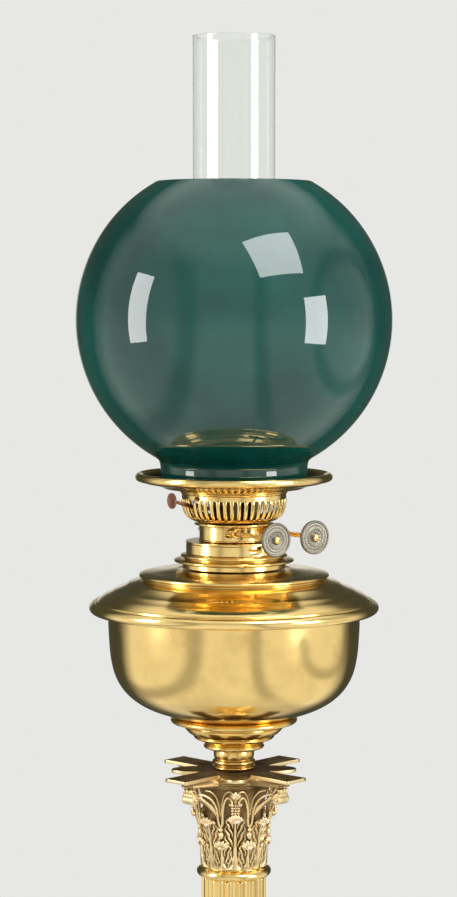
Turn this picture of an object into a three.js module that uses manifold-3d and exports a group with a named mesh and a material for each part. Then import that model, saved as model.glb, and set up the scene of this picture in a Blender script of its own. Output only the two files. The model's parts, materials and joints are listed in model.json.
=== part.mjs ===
// A brass oil lamp with a two-wick burner on a Corinthian column, in millimetres, +Z up.
// The origin is the centre of the felt under the base. The base is square to X and Y, and -Y is the front.
// Every piece stands on the one below it, so the heights are worked out from the table upwards.

import * as THREE from 'three';
import * as BufferGeometryUtils from 'three/addons/utils/BufferGeometryUtils.js';
import Module from 'manifold-3d';

const wasm = await Module();
wasm.setup();

// Clearances, walls and the number of sides on turned pieces.
const seatGap = 0.3;          // between two pieces that seat on each other, or run in each other
const cutOverrun = 3;         // how far a cutting body runs past what it cuts
const spunWall = 1.2;         // wall of the spun brass shells
const thinWall = 0.7;         // wall of the folded sheet pieces
const wideSides = 32;
const midSides = 24;
const smallSides = 16;
const pinSides = 10;
const squareSides = 4;

// Felt, plinth and ballast.
const feltSide = 147;
const feltThickness = 1.6;
const plinthSide = 150;
const plinthHeight = 64;
const ballastBottomGap = 2;   // ballast above the plinth's lower edge
const nutRecessRadius = 14;
const nutRecessDepth = 11;
const ballastLevels = 4;      // levels of the plinth's hollow that the ballast fills
// Each pair is a share of half the plinth's side, and a share of its height.
const plinthShares = [
  [1, 0], [1, 0.15], [0.985, 0.19], [0.955, 0.215], [0.93, 0.22], [0.885, 0.27], [0.85, 0.35],
  [0.84, 0.43], [0.84, 0.48], [0.8, 0.48], [0.8, 0.6], [0.78, 0.635], [0.7, 0.66], [0.63, 0.74],
  [0.6, 0.86], [0.6, 1],
];
const cavityShares = [
  [0.955, 0], [0.955, 0.12], [0.8, 0.22], [0.77, 0.44], [0.72, 0.58], [0.54, 0.64], [0.54, 0.94],
];

// The long tie rod, its washer and its nut.
const rodRadius = 3;
const washerRadius = 10;
const washerThickness = 1.6;
const nutRadius = 6;
const nutHeight = 5;
const nutSides = 6;
const rodTail = 1.4;          // rod below the nut
const rodSocketDepth = 12;    // rod inside the foot of the font

// Column foot: two round mouldings with a hollow between them.
const footRadius = 33;
const footHeight = 22;
const footShares = [
  [0.94, 0], [1, 0.1], [1, 0.22], [0.94, 0.32], [0.83, 0.34], [0.78, 0.46], [0.78, 0.56], [0.82, 0.64],
  [0.82, 0.68], [0.86, 0.74], [0.86, 0.84], [0.8, 0.9], [0.7, 0.92], [0.7, 1],
];

// Fluted shaft and the astragal ring on it.
const shaftRadius = 20.9;
const shaftBoreRadius = 14;
const shaftHeight = 160;
const fluteCount = 14;
const fluteDepth = 2.3;
const fluteShare = 0.8;       // share of the pitch that the hollow takes
const fluteSteps = 4;
const astragalRadius = 23.9;
const astragalHeight = 7.6;
const astragalShares = [
  [0.87, 0], [0.96, 0.06], [0.995, 0.3], [1, 0.45], [0.98, 0.7], [0.92, 0.86], [0.85, 0.9], [0.83, 1],
];

// Capital: a bell with two rings of leaves and four corner scrolls.
const capitalHeight = 55.2;
const bellRadius = 27;        // at the bell's lip, under the abacus
const bellShares = [
  [0.7, 0], [0.72, 0.08], [0.69, 0.3], [0.7, 0.55], [0.78, 0.75], [0.92, 0.9], [1, 0.95], [1, 1],
];
const leafCount = 8;
const leafThickness = 1.8;
const lowerLeaf = { height: 20.5, width: 12.5, foot: 19.8, reach: 23.2, curl: 4.4 };
const upperLeaf = { height: 37.5, width: 14.5, foot: 19.4, reach: 26.4, curl: 5.2 };
const leafSteps = 5;
// Each leaf's width and its way out from foot to reach, along the leaf from root to fold.
const leafWidthShares = [0.8, 0.92, 1, 1, 0.88, 0.6];
const leafOutShares = [0, 0.04, 0.13, 0.32, 0.62, 1];
const leafRibShare = 0.12;    // how far the leaf's middle stands out, as a share of its width
const scrollRadius = 6.2;
const scrollWidth = 9;
const scrollReach = 47;       // outer side of the corner scroll from the axis
const scrollDrop = 9.5;       // scroll's centre below the abacus
const scrollStalkOverlap = 7.6; // the stalk starts this far below the tips of the upper leaves
const scrollStalkThickness = 4.5;
const scrollStalkWidth = 3.6;
const scrollRootShare = 0.7;  // of the bell's radius, where the stalk starts
const scrollSides = 10;

// Abacus: a plate with four hollow sides, cut horns and a round boss at the middle of each side.
const abacusHeight = 6.5;
const abacusPlateThickness = 2.4;
const abacusReach = 54.3;     // middle of a cut horn from the axis
const hornWidth = 18;
const abacusWaist = 22.5;     // a hollow side from the axis, where its boss starts
const abacusHollow = 1.1;     // how the side swings out to the horn: 1 is straight
const bossReach = 40.5;
const bossWidth = 20;
const abacusSteps = 3;
const abacusInsetShare = 0.86; // foot of the hollow moulding below the plate

// Turned pieces between abacus and font.
const knopHeight = 12.8;
const knopRadius = 13.8;
const knopShares = [
  [0.96, 0], [1, 0.08], [0.96, 0.17], [0.9, 0.19], [0.98, 0.23], [1, 0.36], [0.96, 0.5], [0.9, 0.52],
  [0.94, 0.7], [0.95, 1],
];
const fontFootHeight = 21.5;
const fontFootRadius = 41;
const fontFootShares = [
  [0.4, 0], [0.46, 0.05], [0.475, 0.1], [0.46, 0.17], [0.57, 0.27], [0.64, 0.39], [0.63, 0.41], [0.69, 0.44],
  [0.77, 0.62], [0.785, 0.69], [0.765, 0.73], [0.77, 0.77], [0.96, 0.83], [1, 0.9], [0.97, 1],
];
const fontFootSeatShare = 0.8; // top face of the foot, from the axis

// Font: the lower bowl, and the upper shell with its rolled rim and two steps.
const bowlRadius = 81.5;
const bowlHeight = 67;
const bowlShares = [
  [0.47, 0], [0.59, 0.046], [0.7, 0.095], [0.8, 0.165], [0.885, 0.265], [0.945, 0.4], [0.975, 0.57],
  [0.99, 0.78], [1, 1],
];
const rimOverhang = 12;        // rolled rim past the bowl
const rollRadius = 3.5;
const rollSteps = 6;
const rollFromAngle = -90;    // degrees from level, outward
const rollToAngle = 80;
const fontTopHeight = 28.8;
const shoulderSetback = 5.1;   // foot of the shoulder inside the rolled rim
const discSetback = 32.2;      // edge of the upper disc inside the rolled rim
// Shoulder and upper disc: a share of the shoulder's radius, and of the height above the roll's middle.
const shoulderShares = [[1, 0.2], [0.985, 0.27], [0.935, 0.36], [0.875, 0.47], [0.77, 0.63], [0.68, 0.69]];
const discEdgeShares = [[0.955, 0.72], [0.965, 0.765], [1, 0.8], [0.985, 0.845], [0.9, 0.89], [0.62, 0.97]];
const discUnderFirst = 3;     // the underside follows the disc's edge from its fourth pair on
const fontMouthRadius = 28;

// Collar mount, bayonet collar, and the twist that frees the burner.
const mountRadius = 40;
const mountHeight = 9.3;
const mountShares = [
  [0.83, 0], [0.83, 0.34], [0.9, 0.4], [0.985, 0.45], [1, 0.53], [0.97, 0.6], [0.86, 0.64], [0.8, 0.7],
  [0.85, 0.78], [0.88, 0.86], [0.86, 0.93], [0.79, 1],
];
const collarRadius = 31;
const collarHeight = 6.2;
const collarGrooveHeight = 2.8;
const collarWall = 1;
const collarLipRadius = 28;
const notchWidth = 9;
const notchWindowHeight = 2.2;
const notchAzimuth = 25;      // degrees from the front towards +X
const bayonetTwist = 25;      // degrees
const lugWidth = 7;
const lugHeight = 2;

// Burner flange, neck and floor.
const burnerTurn = 31;        // degrees from the front towards +X, where the winders point
const flangeThickness = 1.1;
const flangeHoleRadius = 19;
const skirtRadius = 27.4;
const skirtHeight = 6;
const neckRadius = 22.7;
const neckHeight = 9.6;
const floorRadius = 25.8;
const floorThickness = 2.2;
const floorRoundShare = 0.3;

// Basket: a bowl of sheet with upright slots.
const basketRadius = 33.8;
const basketHeight = 18;
const slotCount = 46;
const slotShare = 0.4;
const basketWall = 1.1;
// Levels from the floor up; the slots run from the second level to the fourth.
const basketShares = [[0.71, 0], [0.83, 0.11], [0.95, 0.35], [1, 0.83], [1, 1]];
const slotFirstLevel = 1;
const slotLastLevel = 3;

// Wick tubes and wicks.
const tubeHalfLength = 14;
const tubeHalfThickness = 2.6;
const tubeOffset = 8;         // from the axis to the middle of each tube
const tubeCornerSteps = 2;
const tubeAboveFlange = 44.5;
const tubeBelowFlange = 27;
const wickHalfLength = 12.9;
const wickHalfThickness = 1.6;
const wickProud = 1;          // wick above its tube
const wickTail = 65;          // wick below its tube

// Winders.
const spindleRadius = 1.5;
const spindleOffset = 14.6;    // from the axis to each spindle
const spindleHeightShare = 0.7; // of the neck's height
const wheelTipRadius = 4.6;
const wheelRootRadius = 3.6;
const wheelTeeth = 10;
const wheelThickness = 3;
const wheelSpacing = 8;
const wheelHubRadius = 2.5;
const wheelWindowHeight = 8;
const wheelWindowWidth = 4;
const knobDistance = 71;      // face of the knob from the axis
const knobRadius = 10.6;
const knobThickness = 2.4;
const knobRimWidth = 1.3;
const knobRimHeight = 0.5;
const knobBossRadius = 2.3;
const screwHeadThickness = 1.4;
const bushRadius = 2.9;
const bushLength = 9;
const spindleTail = 1;        // spindle past the far side of the neck

// Flame spreader, snuffer and its lever.
const domeRadius = 26;
const domeFlangeRadius = 28.9;
const domeFlangeThickness = 1;
const domeHeight = 17;
const domeWallHeight = 2.5;
const domeSteps = 4;
const domeSlotGap = 0.35;     // round the snuffer where it comes up through the dome
const snufferHeight = 17.7;
const snufferWall = 0.6;
const snufferWebThickness = 1;
const snufferLugReach = 15;   // from the axis
const snufferLugWidth = 6;
const snufferWebWidth = 10;
const leverPivotReach = 27;   // lever's pin from the axis
const leverPivotHeight = 10.1; // lever's pin above the floor
const leverTipReach = 13.2;
const leverTipDrop = 1.3;     // top of the lever's tip below its pin
const leverThickness = 2.4;
const leverDepth = 2.2;
const leverEyeRadius = 2.6;
const leverPinRadius = 1.1;
const tabReach = 47;
const tabRadius = 5;
const tabThickness = 1.4;
const tabRise = 6.5;          // middle of the thumb tab above the pin
const earThickness = 1;
const bracketFootInner = 15;
const bracketFootOuter = 21.5;
const earTopReach = 29.3;
const earTopHeight = 2.5;     // ear above the pin
const earShoulderDrop = 2;    // where the ear's outer edge turns upright, below the pin

// Gallery and the chimney's holder.
const galleryRadius = 63.8;
const galleryRollRadius = 2.6;
const galleryHoleRadius = 27.5;
const galleryHubRadius = 34.5;
const galleryHeight = 10.3;   // middle of the rolled rim above the hub's underside
const galleryLipDrop = 2.4;   // dish's edge below the middle of the roll
const galleryRollSteps = 6;
const galleryRollFrom = -110; // degrees from level, outward
const galleryRollTo = 140;
const prongCount = 8;
const prongHeight = 13;
const prongThickness = 0.8;
const prongGapShare = 0.35;
const holderFloorThickness = 1;

// Chimney.
const chimneyFootRadius = 31.75;
const chimneyTubeRadius = 26.4;
const chimneyBellyRadius = 38.2;
const chimneyWall = 2;
const chimneyHeight = 288.7;
const chimneyFootHeight = 12;
const chimneyBellyHeight = 44;
const chimneyShoulderHeight = 106;
// How far the outline has gone from foot to belly, and from belly to tube.
const bellyRiseShares = [[0, 0], [0.25, 0.16], [0.75, 0.55], [0.94, 0.78], [1, 1]];
const bellyFallShares = [[0.08, 0.18], [0.35, 0.42], [0.72, 0.68], [0.93, 0.87], [1, 1]];

// Ball shade.
const globeRadius = 101.6;
const globeWall = 3.2;
const globeMouthRadius = 49.2;
const globeThroatRadius = 49.5;
const globeNeckRadius = 47.5;
const globeNeckHeight = 16.9;
const globeSteps = 10;
const globeNeckShares = [[0, 0], [0, 0.6], [0.25, 0.85]];

// Heights of the joints between the pieces, from the table up.
const plinthBottom = feltThickness + seatGap;
const plinthTop = plinthBottom + plinthHeight;
const footBottom = plinthTop + seatGap;
const shaftBottom = footBottom + footHeight + seatGap;
const astragalBottom = shaftBottom + shaftHeight + seatGap;
const capitalBottom = astragalBottom + astragalHeight + seatGap;
const capitalTop = capitalBottom + capitalHeight;
const abacusBottom = capitalTop + seatGap;
const knopBottom = abacusBottom + abacusHeight + seatGap;
const fontFootBottom = knopBottom + knopHeight + seatGap;
const bowlBottom = fontFootBottom + fontFootHeight + seatGap;
const bowlTop = bowlBottom + bowlHeight;
const rollMiddle = bowlTop + seatGap + rollRadius;
const rimRadius = bowlRadius + rimOverhang;
const mountBottom = bowlTop + seatGap + fontTopHeight + seatGap;
const collarBottom = mountBottom + mountHeight + seatGap;
const flangeBottom = collarBottom + collarHeight + seatGap;
const flangeTop = flangeBottom + flangeThickness;
const neckBottom = flangeTop + seatGap;
const floorBottom = neckBottom + neckHeight + seatGap;
const floorTop = floorBottom + floorThickness;
const basketBottom = floorTop + seatGap;
const galleryBottom = basketBottom + basketHeight + seatGap;
const hubTop = galleryBottom + spunWall;
const holderBottom = hubTop + seatGap;
const chimneyBottom = holderBottom + holderFloorThickness + seatGap;
const spindleHeight = neckBottom + neckHeight * spindleHeightShare;
const leverPivot = floorTop + leverPivotHeight;
const snufferBottom = leverPivot - leverTipDrop + seatGap;
const rodHoleRadius = rodRadius + seatGap;
const spindleHoleRadius = spindleRadius + seatGap;

// Finishes, as colour, roughness and metalness.
const polishedBrass = { color: 0xd9ae55, roughness: 0.2, metalness: 1 };
const warmBrass = { color: 0xcf9440, roughness: 0.28, metalness: 1 };
const agedBrass = { color: 0xa9825a, roughness: 0.45, metalness: 1 };
const paleSteel = { color: 0xb9b6ab, roughness: 0.4, metalness: 0.9 };
const copper = { color: 0x9c6a52, roughness: 0.4, metalness: 1 };
const castIron = { color: 0x3a3a3c, roughness: 0.8, metalness: 0.6 };
const plainSteel = { color: 0x8b8b88, roughness: 0.45, metalness: 1 };
const greenFelt = { color: 0x2f4f34, roughness: 1, metalness: 0 };
const wovenWick = { color: 0xe6dcc4, roughness: 1, metalness: 0 };
const clearGlass = { color: 0xeef3ef, roughness: 0.03, metalness: 0, transparent: true, opacity: 0.25 };
const tealGlass = { color: 0x0d5a52, roughness: 0.05, metalness: 0 };

const degree = Math.PI / 180;

// Merges shared corners, drops faces of no area, and turns the faces outward.
function closeSolid(geometry) {
  const bare = geometry.clone();
  bare.deleteAttribute('normal');
  if (bare.getAttribute('uv')) bare.deleteAttribute('uv');
  const merged = BufferGeometryUtils.mergeVertices(bare);
  const place = merged.getAttribute('position');
  const corners = merged.index.array;
  const kept = [];
  const a = new THREE.Vector3();
  const b = new THREE.Vector3();
  const c = new THREE.Vector3();
  let volume = 0;
  for (let i = 0; i < corners.length; i += 3) {
    const [p, q, r] = [corners[i], corners[i + 1], corners[i + 2]];
    if (p === q || q === r || r === p) continue;
    kept.push(p, q, r);
    a.fromBufferAttribute(place, p);
    b.fromBufferAttribute(place, q);
    c.fromBufferAttribute(place, r);
    volume += a.dot(b.cross(c));
  }
  if (volume < 0) kept.reverse();
  merged.setIndex(kept);
  return merged;
}

function toManifold(geometry) {
  const closed = closeSolid(geometry);
  return new wasm.Manifold(new wasm.Mesh({
    numProp: 3,
    vertProperties: new Float32Array(closed.getAttribute('position').array),
    triVerts: new Uint32Array(closed.index.array),
  }));
}

function toGeometry(solid) {
  const mesh = solid.getMesh();
  const geometry = new THREE.BufferGeometry();
  geometry.setAttribute('position', new THREE.BufferAttribute(new Float32Array(mesh.vertProperties), 3));
  geometry.setIndex([...mesh.triVerts]);
  return geometry;
}

function cut(geometry, ...tools) {
  let solid = toManifold(geometry);
  for (const tool of tools) solid = solid.subtract(toManifold(tool));
  return toGeometry(solid);
}

function join(geometry, ...others) {
  let solid = toManifold(geometry);
  for (const other of others) solid = solid.add(toManifold(other));
  return toGeometry(solid);
}

// A closed outline of [radius, height] pairs turned round the Z axis.
function turned(outline, sides) {
  const points = [...outline, outline[0]].map(([radius, height]) => new THREE.Vector2(radius, height));
  const geometry = new THREE.LatheGeometry(points, sides);
  geometry.rotateX(Math.PI / 2);
  return geometry;
}

// Share pairs made into [radius, height] pairs that start at a height.
function scaled(shares, radius, height, bottom) {
  return shares.map(([across, up]) => [across * radius, bottom + up * height]);
}

function arc(middleRadius, middleHeight, radius, from, to, steps) {
  const points = [];
  for (let i = 0; i <= steps; i++) {
    const angle = (from + (to - from) * i / steps) * degree;
    points.push([middleRadius + radius * Math.cos(angle), middleHeight + radius * Math.sin(angle)]);
  }
  return points;
}

function rod(radius, height, bottom, sides) {
  return new THREE.CylinderGeometry(radius, radius, height, sides)
    .rotateX(Math.PI / 2)
    .translate(0, 0, bottom + height / 2);
}

// A cylinder along Y, between two places on it.
function crossRod(radius, from, to, x, z, sides) {
  return new THREE.CylinderGeometry(radius, radius, Math.abs(to - from), sides)
    .translate(0, (from + to) / 2, 0)
    .translate(x, 0, z);
}

function block(low, high) {
  const size = high.map((value, i) => value - low[i]);
  const middle = high.map((value, i) => (value + low[i]) / 2);
  return new THREE.BoxGeometry(...size).translate(...middle);
}

// Rings of points, each joined to the next and the last to the first.
function ringLoft(rings) {
  const count = rings[0].length;
  const places = rings.flat(2);
  const index = [];
  for (let i = 0; i < rings.length; i++) {
    const next = (i + 1) % rings.length;
    for (let j = 0; j < count; j++) {
      const k = (j + 1) % count;
      const [a, b, c, d] = [i * count + j, i * count + k, next * count + k, next * count + j];
      index.push(a, b, c, a, c, d);
    }
  }
  const geometry = new THREE.BufferGeometry();
  geometry.setAttribute('position', new THREE.Float32BufferAttribute(places, 3));
  geometry.setIndex(index);
  return geometry;
}

function flatRing(outline, height) {
  return outline.map(([x, y]) => [x, y, height]);
}

function circleLike(outline, radius) {
  return outline.map(([x, y]) => {
    const angle = Math.atan2(y, x);
    return [radius * Math.cos(angle), radius * Math.sin(angle)];
  });
}

// A rectangle with fully rounded corners, long in Y.
function oblong(halfLength, halfThickness, x) {
  const points = [];
  for (const end of [0, 1]) {
    for (let i = 0; i <= 2 * tubeCornerSteps; i++) {
      const angle = Math.PI * (end + i / (2 * tubeCornerSteps));
      const side = end === 0 ? 1 : -1;
      const across = halfThickness * Math.cos(angle);
      const along = side * (halfLength - halfThickness) + halfThickness * Math.sin(angle);
      points.push([x + across, along]);
    }
  }
  return points;
}

function prism(outline, bottom, top) {
  const shape = new THREE.Shape(outline.map(([x, y]) => new THREE.Vector2(x, y)));
  const depth = top - bottom;
  return new THREE.ExtrudeGeometry(shape, { depth, bevelEnabled: false }).translate(0, 0, bottom);
}

function sleeve(outer, inner, bottom, top) {
  return ringLoft([
    flatRing(outer, bottom), flatRing(outer, top), flatRing(inner, top), flatRing(inner, bottom),
  ]);
}

// An outline in X and Z, given a thickness in Y about the middle plane.
function sidePlate(outline, thickness, y) {
  const shape = new THREE.Shape(outline.map(([x, z]) => new THREE.Vector2(x, z)));
  return new THREE.ExtrudeGeometry(shape, { depth: thickness, bevelEnabled: false })
    .rotateX(Math.PI / 2)
    .translate(0, y + thickness / 2, 0);
}

function part(name, geometry, finish) {
  const mesh = new THREE.Mesh(closeSolid(geometry), new THREE.MeshStandardMaterial(finish));
  mesh.name = name;
  return mesh;
}

// A square moulding: a turned outline with four sides, set square to X and Y.
function squareMoulding(outline) {
  const corner = outline.map(([half, height]) => [half * Math.SQRT2, height]);
  const points = [[0, corner[0][1]], ...corner, [0, corner[corner.length - 1][1]]]
    .map(([radius, height]) => new THREE.Vector2(radius, height));
  return new THREE.LatheGeometry(points, squareSides).rotateX(Math.PI / 2).rotateZ(Math.PI / 4);
}

function feltPad() {
  const half = feltSide / 2;
  return part('felt_pad', block([-half, -half, 0], [half, half, feltThickness]), greenFelt);
}

function plinth() {
  const half = plinthSide / 2;
  const body = squareMoulding(scaled(plinthShares, half, plinthHeight, plinthBottom));
  const cavity = scaled(cavityShares, half, plinthHeight, plinthBottom);
  const cavityFoot = [cavity[0][0], plinthBottom - cutOverrun];
  const rodHole = rod(rodHoleRadius, plinthHeight + cutOverrun, plinthBottom, pinSides);
  const shell = cut(body, squareMoulding([cavityFoot, ...cavity.slice(1)]), rodHole);
  return part('plinth', shell, polishedBrass);
}

const ballastBottom = plinthBottom + ballastBottomGap;
const washerTop = ballastBottom + nutRecessDepth - seatGap;
const nutTop = washerTop - washerThickness - seatGap;
const rodBottom = nutTop - nutHeight - rodTail;
const rodTop = fontFootBottom + rodSocketDepth;

function ballast() {
  const half = plinthSide / 2;
  const cavity = scaled(cavityShares, half, plinthHeight, plinthBottom).slice(0, ballastLevels);
  const outline = cavity.map(([across, up]) => [across - 2 * seatGap, up - seatGap]);
  const ballastHeight = outline[ballastLevels - 1][1] - ballastBottom;
  outline[0][1] = ballastBottom;
  const recess = rod(nutRecessRadius, nutRecessDepth + cutOverrun, ballastBottom - cutOverrun, smallSides);
  const rodHole = rod(rodHoleRadius, ballastHeight + cutOverrun, ballastBottom, pinSides);
  return part('ballast', cut(squareMoulding(outline), recess, rodHole), castIron);
}

function tieRod() {
  return part('tie_rod', rod(rodRadius, rodTop - rodBottom, rodBottom, pinSides), plainSteel);
}

function washerOutline(outer, inner, bottom, top) {
  return [[inner, bottom], [outer, bottom], [outer, top], [inner, top]];
}

function tieWasher() {
  const outline = washerOutline(washerRadius, rodHoleRadius, washerTop - washerThickness, washerTop);
  return part('tie_washer', turned(outline, smallSides), plainSteel);
}

function tieNut() {
  const hexagon = rod(nutRadius, nutHeight, nutTop - nutHeight, nutSides);
  const hole = rod(rodHoleRadius, nutHeight + 2 * cutOverrun, nutTop - nutHeight - cutOverrun, pinSides);
  return part('tie_nut', cut(hexagon, hole), plainSteel);
}

// A turned piece with a bore through it, from share pairs.
function boredTurning(name, shares, radius, height, bottom, bore, sides, finish) {
  const outline = scaled(shares, radius, height, bottom);
  return part(name, turned([[bore, bottom], ...outline, [bore, bottom + height]], sides), finish);
}

// The shaft's outline: for each flute, a narrow fillet and then a hollow.
function flutedOutline() {
  const points = [];
  const pitch = 2 * Math.PI / fluteCount;
  for (let i = 0; i < fluteCount; i++) {
    for (let j = 0; j <= fluteSteps; j++) {
      const across = j / fluteSteps;
      const angle = pitch * (i + across * fluteShare);
      const radius = shaftRadius - fluteDepth * Math.sqrt(1 - (2 * across - 1) ** 2);
      points.push([radius * Math.cos(angle), radius * Math.sin(angle)]);
    }
  }
  return points;
}

function columnShaft() {
  const outer = flutedOutline();
  const inner = circleLike(outer, shaftBoreRadius);
  return part('column_shaft', sleeve(outer, inner, shaftBottom, shaftBottom + shaftHeight), polishedBrass);
}

// One leaf: it climbs the bell, leans out and folds over at its tip.
function leaf(form, azimuth) {
  const sections = [];
  const half = form.width / 2;
  for (let i = 0; i <= leafSteps; i++) {
    const share = i / leafSteps;
    const out = form.foot + (form.reach - form.foot) * leafOutShares[i];
    const up = capitalBottom + form.height * Math.sin(share * Math.PI / 2);
    const width = half * leafWidthShares[i];
    const rib = form.width * leafRibShare;
    const back = out - leafThickness;
    sections.push([
      [back, -width, up], [out, -width, up], [out + rib, 0, up], [out, width, up], [back, width, up],
    ]);
  }
  const tipDrop = capitalBottom + form.height - form.curl;
  const tip = half * leafWidthShares[leafSteps];
  const front = form.reach + leafThickness;
  sections.push([
    [form.reach, -tip, tipDrop], [front, -tip, tipDrop], [front, 0, tipDrop], [front, tip, tipDrop],
    [form.reach, tip, tipDrop],
  ]);
  return tube(sections).rotateZ((azimuth - 90) * degree);
}

// Sections of points, each joined to the next, with flat ends.
function tube(sections) {
  const count = sections[0].length;
  const index = [];
  for (let i = 0; i + 1 < sections.length; i++) {
    for (let j = 0; j < count; j++) {
      const k = (j + 1) % count;
      const [a, b, c, d] = [i * count + j, i * count + k, (i + 1) * count + k, (i + 1) * count + j];
      index.push(a, b, c, a, c, d);
    }
  }
  const last = (sections.length - 1) * count;
  for (let j = 1; j + 1 < count; j++) {
    index.push(0, j + 1, j);
    index.push(last, last + j, last + j + 1);
  }
  const geometry = new THREE.BufferGeometry();
  geometry.setAttribute('position', new THREE.Float32BufferAttribute(sections.flat(2), 3));
  geometry.setIndex(index);
  return geometry;
}

// A corner scroll: a thick disc on edge under the abacus horn, with a stalk back to the bell.
function cornerScroll(azimuth) {
  const middle = capitalTop - scrollDrop;
  const outer = scrollReach - scrollRadius;
  const half = scrollWidth / 2;
  const eye = crossRod(scrollRadius, -half, half, outer, middle, scrollSides);
  const stalkTop = middle + scrollRadius - scrollStalkThickness / 2;
  const stalkFoot = capitalBottom + upperLeaf.height - scrollStalkOverlap;
  const bellSide = bellRadius * scrollRootShare;
  const stalk = sidePlate([
    [bellSide, stalkFoot], [bellSide + scrollStalkThickness, stalkFoot], [outer, middle],
    [outer, stalkTop], [bellSide, stalkTop],
  ], scrollStalkWidth, 0);
  return join(eye, stalk).rotateZ(azimuth * degree);
}

function capital() {
  const outline = scaled(bellShares, bellRadius, capitalHeight, capitalBottom);
  const bell = turned([[rodHoleRadius, capitalBottom], ...outline, [rodHoleRadius, capitalTop]], smallSides);
  const growth = [];
  for (let i = 0; i < leafCount; i++) {
    const pitch = 360 / leafCount;
    growth.push(leaf(upperLeaf, i * pitch));
    growth.push(leaf(lowerLeaf, (i + 0.5) * pitch));
  }
  for (let i = 0; i < squareSides; i++) growth.push(cornerScroll((i + 0.5) * 360 / squareSides));
  return part('capital', join(bell, ...growth), agedBrass);
}

// A quarter of the abacus from one side's middle round its horn, repeated four times.
function abacusOutline() {
  const points = [];
  for (let side = 0; side < squareSides; side++) {
    const turn = side * Math.PI / 2;
    const quarter = [];
    for (let i = -abacusSteps; i <= abacusSteps; i++) {
      const share = i / abacusSteps;
      const y = share * bossWidth / 2;
      const fall = (bossReach - abacusWaist) * (1 - Math.sqrt(1 - share ** 2));
      quarter.push([bossReach - fall, y]);
    }
    const corner = abacusReach / Math.SQRT2;
    const half = hornWidth / 2 / Math.SQRT2;
    const [fromX, fromY] = [abacusWaist, bossWidth / 2];
    const [toX, toY] = [corner + half, corner - half];
    for (let i = 1; i <= abacusSteps; i++) {
      const share = i / abacusSteps;
      quarter.push([fromX + (toX - fromX) * share ** abacusHollow, fromY + (toY - fromY) * share]);
    }
    quarter.push([toY, toX]);
    for (let i = abacusSteps - 1; i > 0; i--) {
      const share = i / abacusSteps;
      quarter.push([fromY + (toY - fromY) * share, fromX + (toX - fromX) * share ** abacusHollow]);
    }
    for (const [x, y] of quarter) {
      points.push([x * Math.cos(turn) - y * Math.sin(turn), x * Math.sin(turn) + y * Math.cos(turn)]);
    }
  }
  return points;
}

function abacus() {
  const outline = abacusOutline();
  const inset = outline.map(([x, y]) => [x * abacusInsetShare, y * abacusInsetShare]);
  const bore = circleLike(outline, rodHoleRadius);
  const top = abacusBottom + abacusHeight;
  const plateBottom = top - abacusPlateThickness;
  return part('abacus', ringLoft([
    flatRing(inset, abacusBottom), flatRing(inset, (abacusBottom + plateBottom) / 2),
    flatRing(outline, plateBottom), flatRing(outline, top), flatRing(bore, top),
    flatRing(bore, abacusBottom),
  ]), agedBrass);
}

function fontFoot() {
  const outline = scaled(fontFootShares, fontFootRadius, fontFootHeight, fontFootBottom);
  const seat = [fontFootRadius * fontFootSeatShare, fontFootBottom + fontFootHeight];
  const socketTop = rodTop + seatGap;
  return part('font_foot', turned([
    [rodHoleRadius, fontFootBottom], ...outline, seat, [0, fontFootBottom + fontFootHeight],
    [0, socketTop], [rodHoleRadius, socketTop],
  ], midSides), warmBrass);
}

function fontBowl() {
  const outer = scaled(bowlShares, bowlRadius, bowlHeight, bowlBottom);
  const floor = bowlBottom + spunWall;
  const inner = outer.map(([radius, height], i) => [radius - spunWall, i === 0 ? floor : height]);
  const inside = inner.slice(1).reverse();
  return part('font_bowl', turned([
    [0, bowlBottom], ...outer, ...inside, [inner[0][0], floor], [0, floor],
  ], wideSides), polishedBrass);
}

function fontTop() {
  const bottom = bowlTop + seatGap;
  const top = bottom + fontTopHeight;
  const rise = top - rollMiddle;
  const roll = arc(rimRadius - rollRadius, rollMiddle, rollRadius, rollFromAngle, rollToAngle, rollSteps);
  const shoulder = scaled(shoulderShares, rimRadius - shoulderSetback, rise, rollMiddle);
  const disc = scaled(discEdgeShares, rimRadius - discSetback, rise, rollMiddle);
  const seat = bowlRadius - 2 * spunWall;
  const lid = [[fontMouthRadius, top], [fontMouthRadius, top - spunWall]];
  const under = ([radius, height]) => [radius - 2 * spunWall, height - spunWall];
  const underDisc = disc.slice(discUnderFirst).reverse().map(under);
  const underShoulder = shoulder.slice(1).reverse().map(under);
  return part('font_top', turned([
    [seat, bottom], ...roll, ...shoulder, ...disc, ...lid, ...underDisc, ...underShoulder,
    [seat, rollMiddle],
  ], wideSides), polishedBrass);
}

function collarBase() {
  return boredTurning('collar_base', mountShares, mountRadius, mountHeight, mountBottom,
    fontMouthRadius, midSides, polishedBrass);
}

// The bayonet collar: a lip at the top, a groove under it, and two notches where the lugs drop in.
function fontCollar() {
  const top = collarBottom + collarHeight;
  const grooveRadius = collarRadius - collarWall;
  const lipBottom = collarBottom + collarGrooveHeight;
  const ring = turned([
    [grooveRadius, collarBottom], [collarRadius, collarBottom], [collarRadius, top],
    [collarLipRadius, top], [collarLipRadius, lipBottom], [grooveRadius, lipBottom],
  ], midSides);
  const half = notchWidth / 2;
  const inside = -collarLipRadius + cutOverrun;
  const above = top + cutOverrun;
  const entry = block([-half, -grooveRadius, lipBottom - cutOverrun], [half, inside, above]);
  const window = block([-half, -collarRadius - cutOverrun, top - notchWindowHeight], [half, inside, above]);
  const tools = [];
  for (const turn of [notchAzimuth, notchAzimuth + 180]) {
    tools.push(entry.clone().rotateZ(turn * degree), window.clone().rotateZ(turn * degree));
  }
  return part('font_collar', cut(ring, ...tools), polishedBrass);
}

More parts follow.
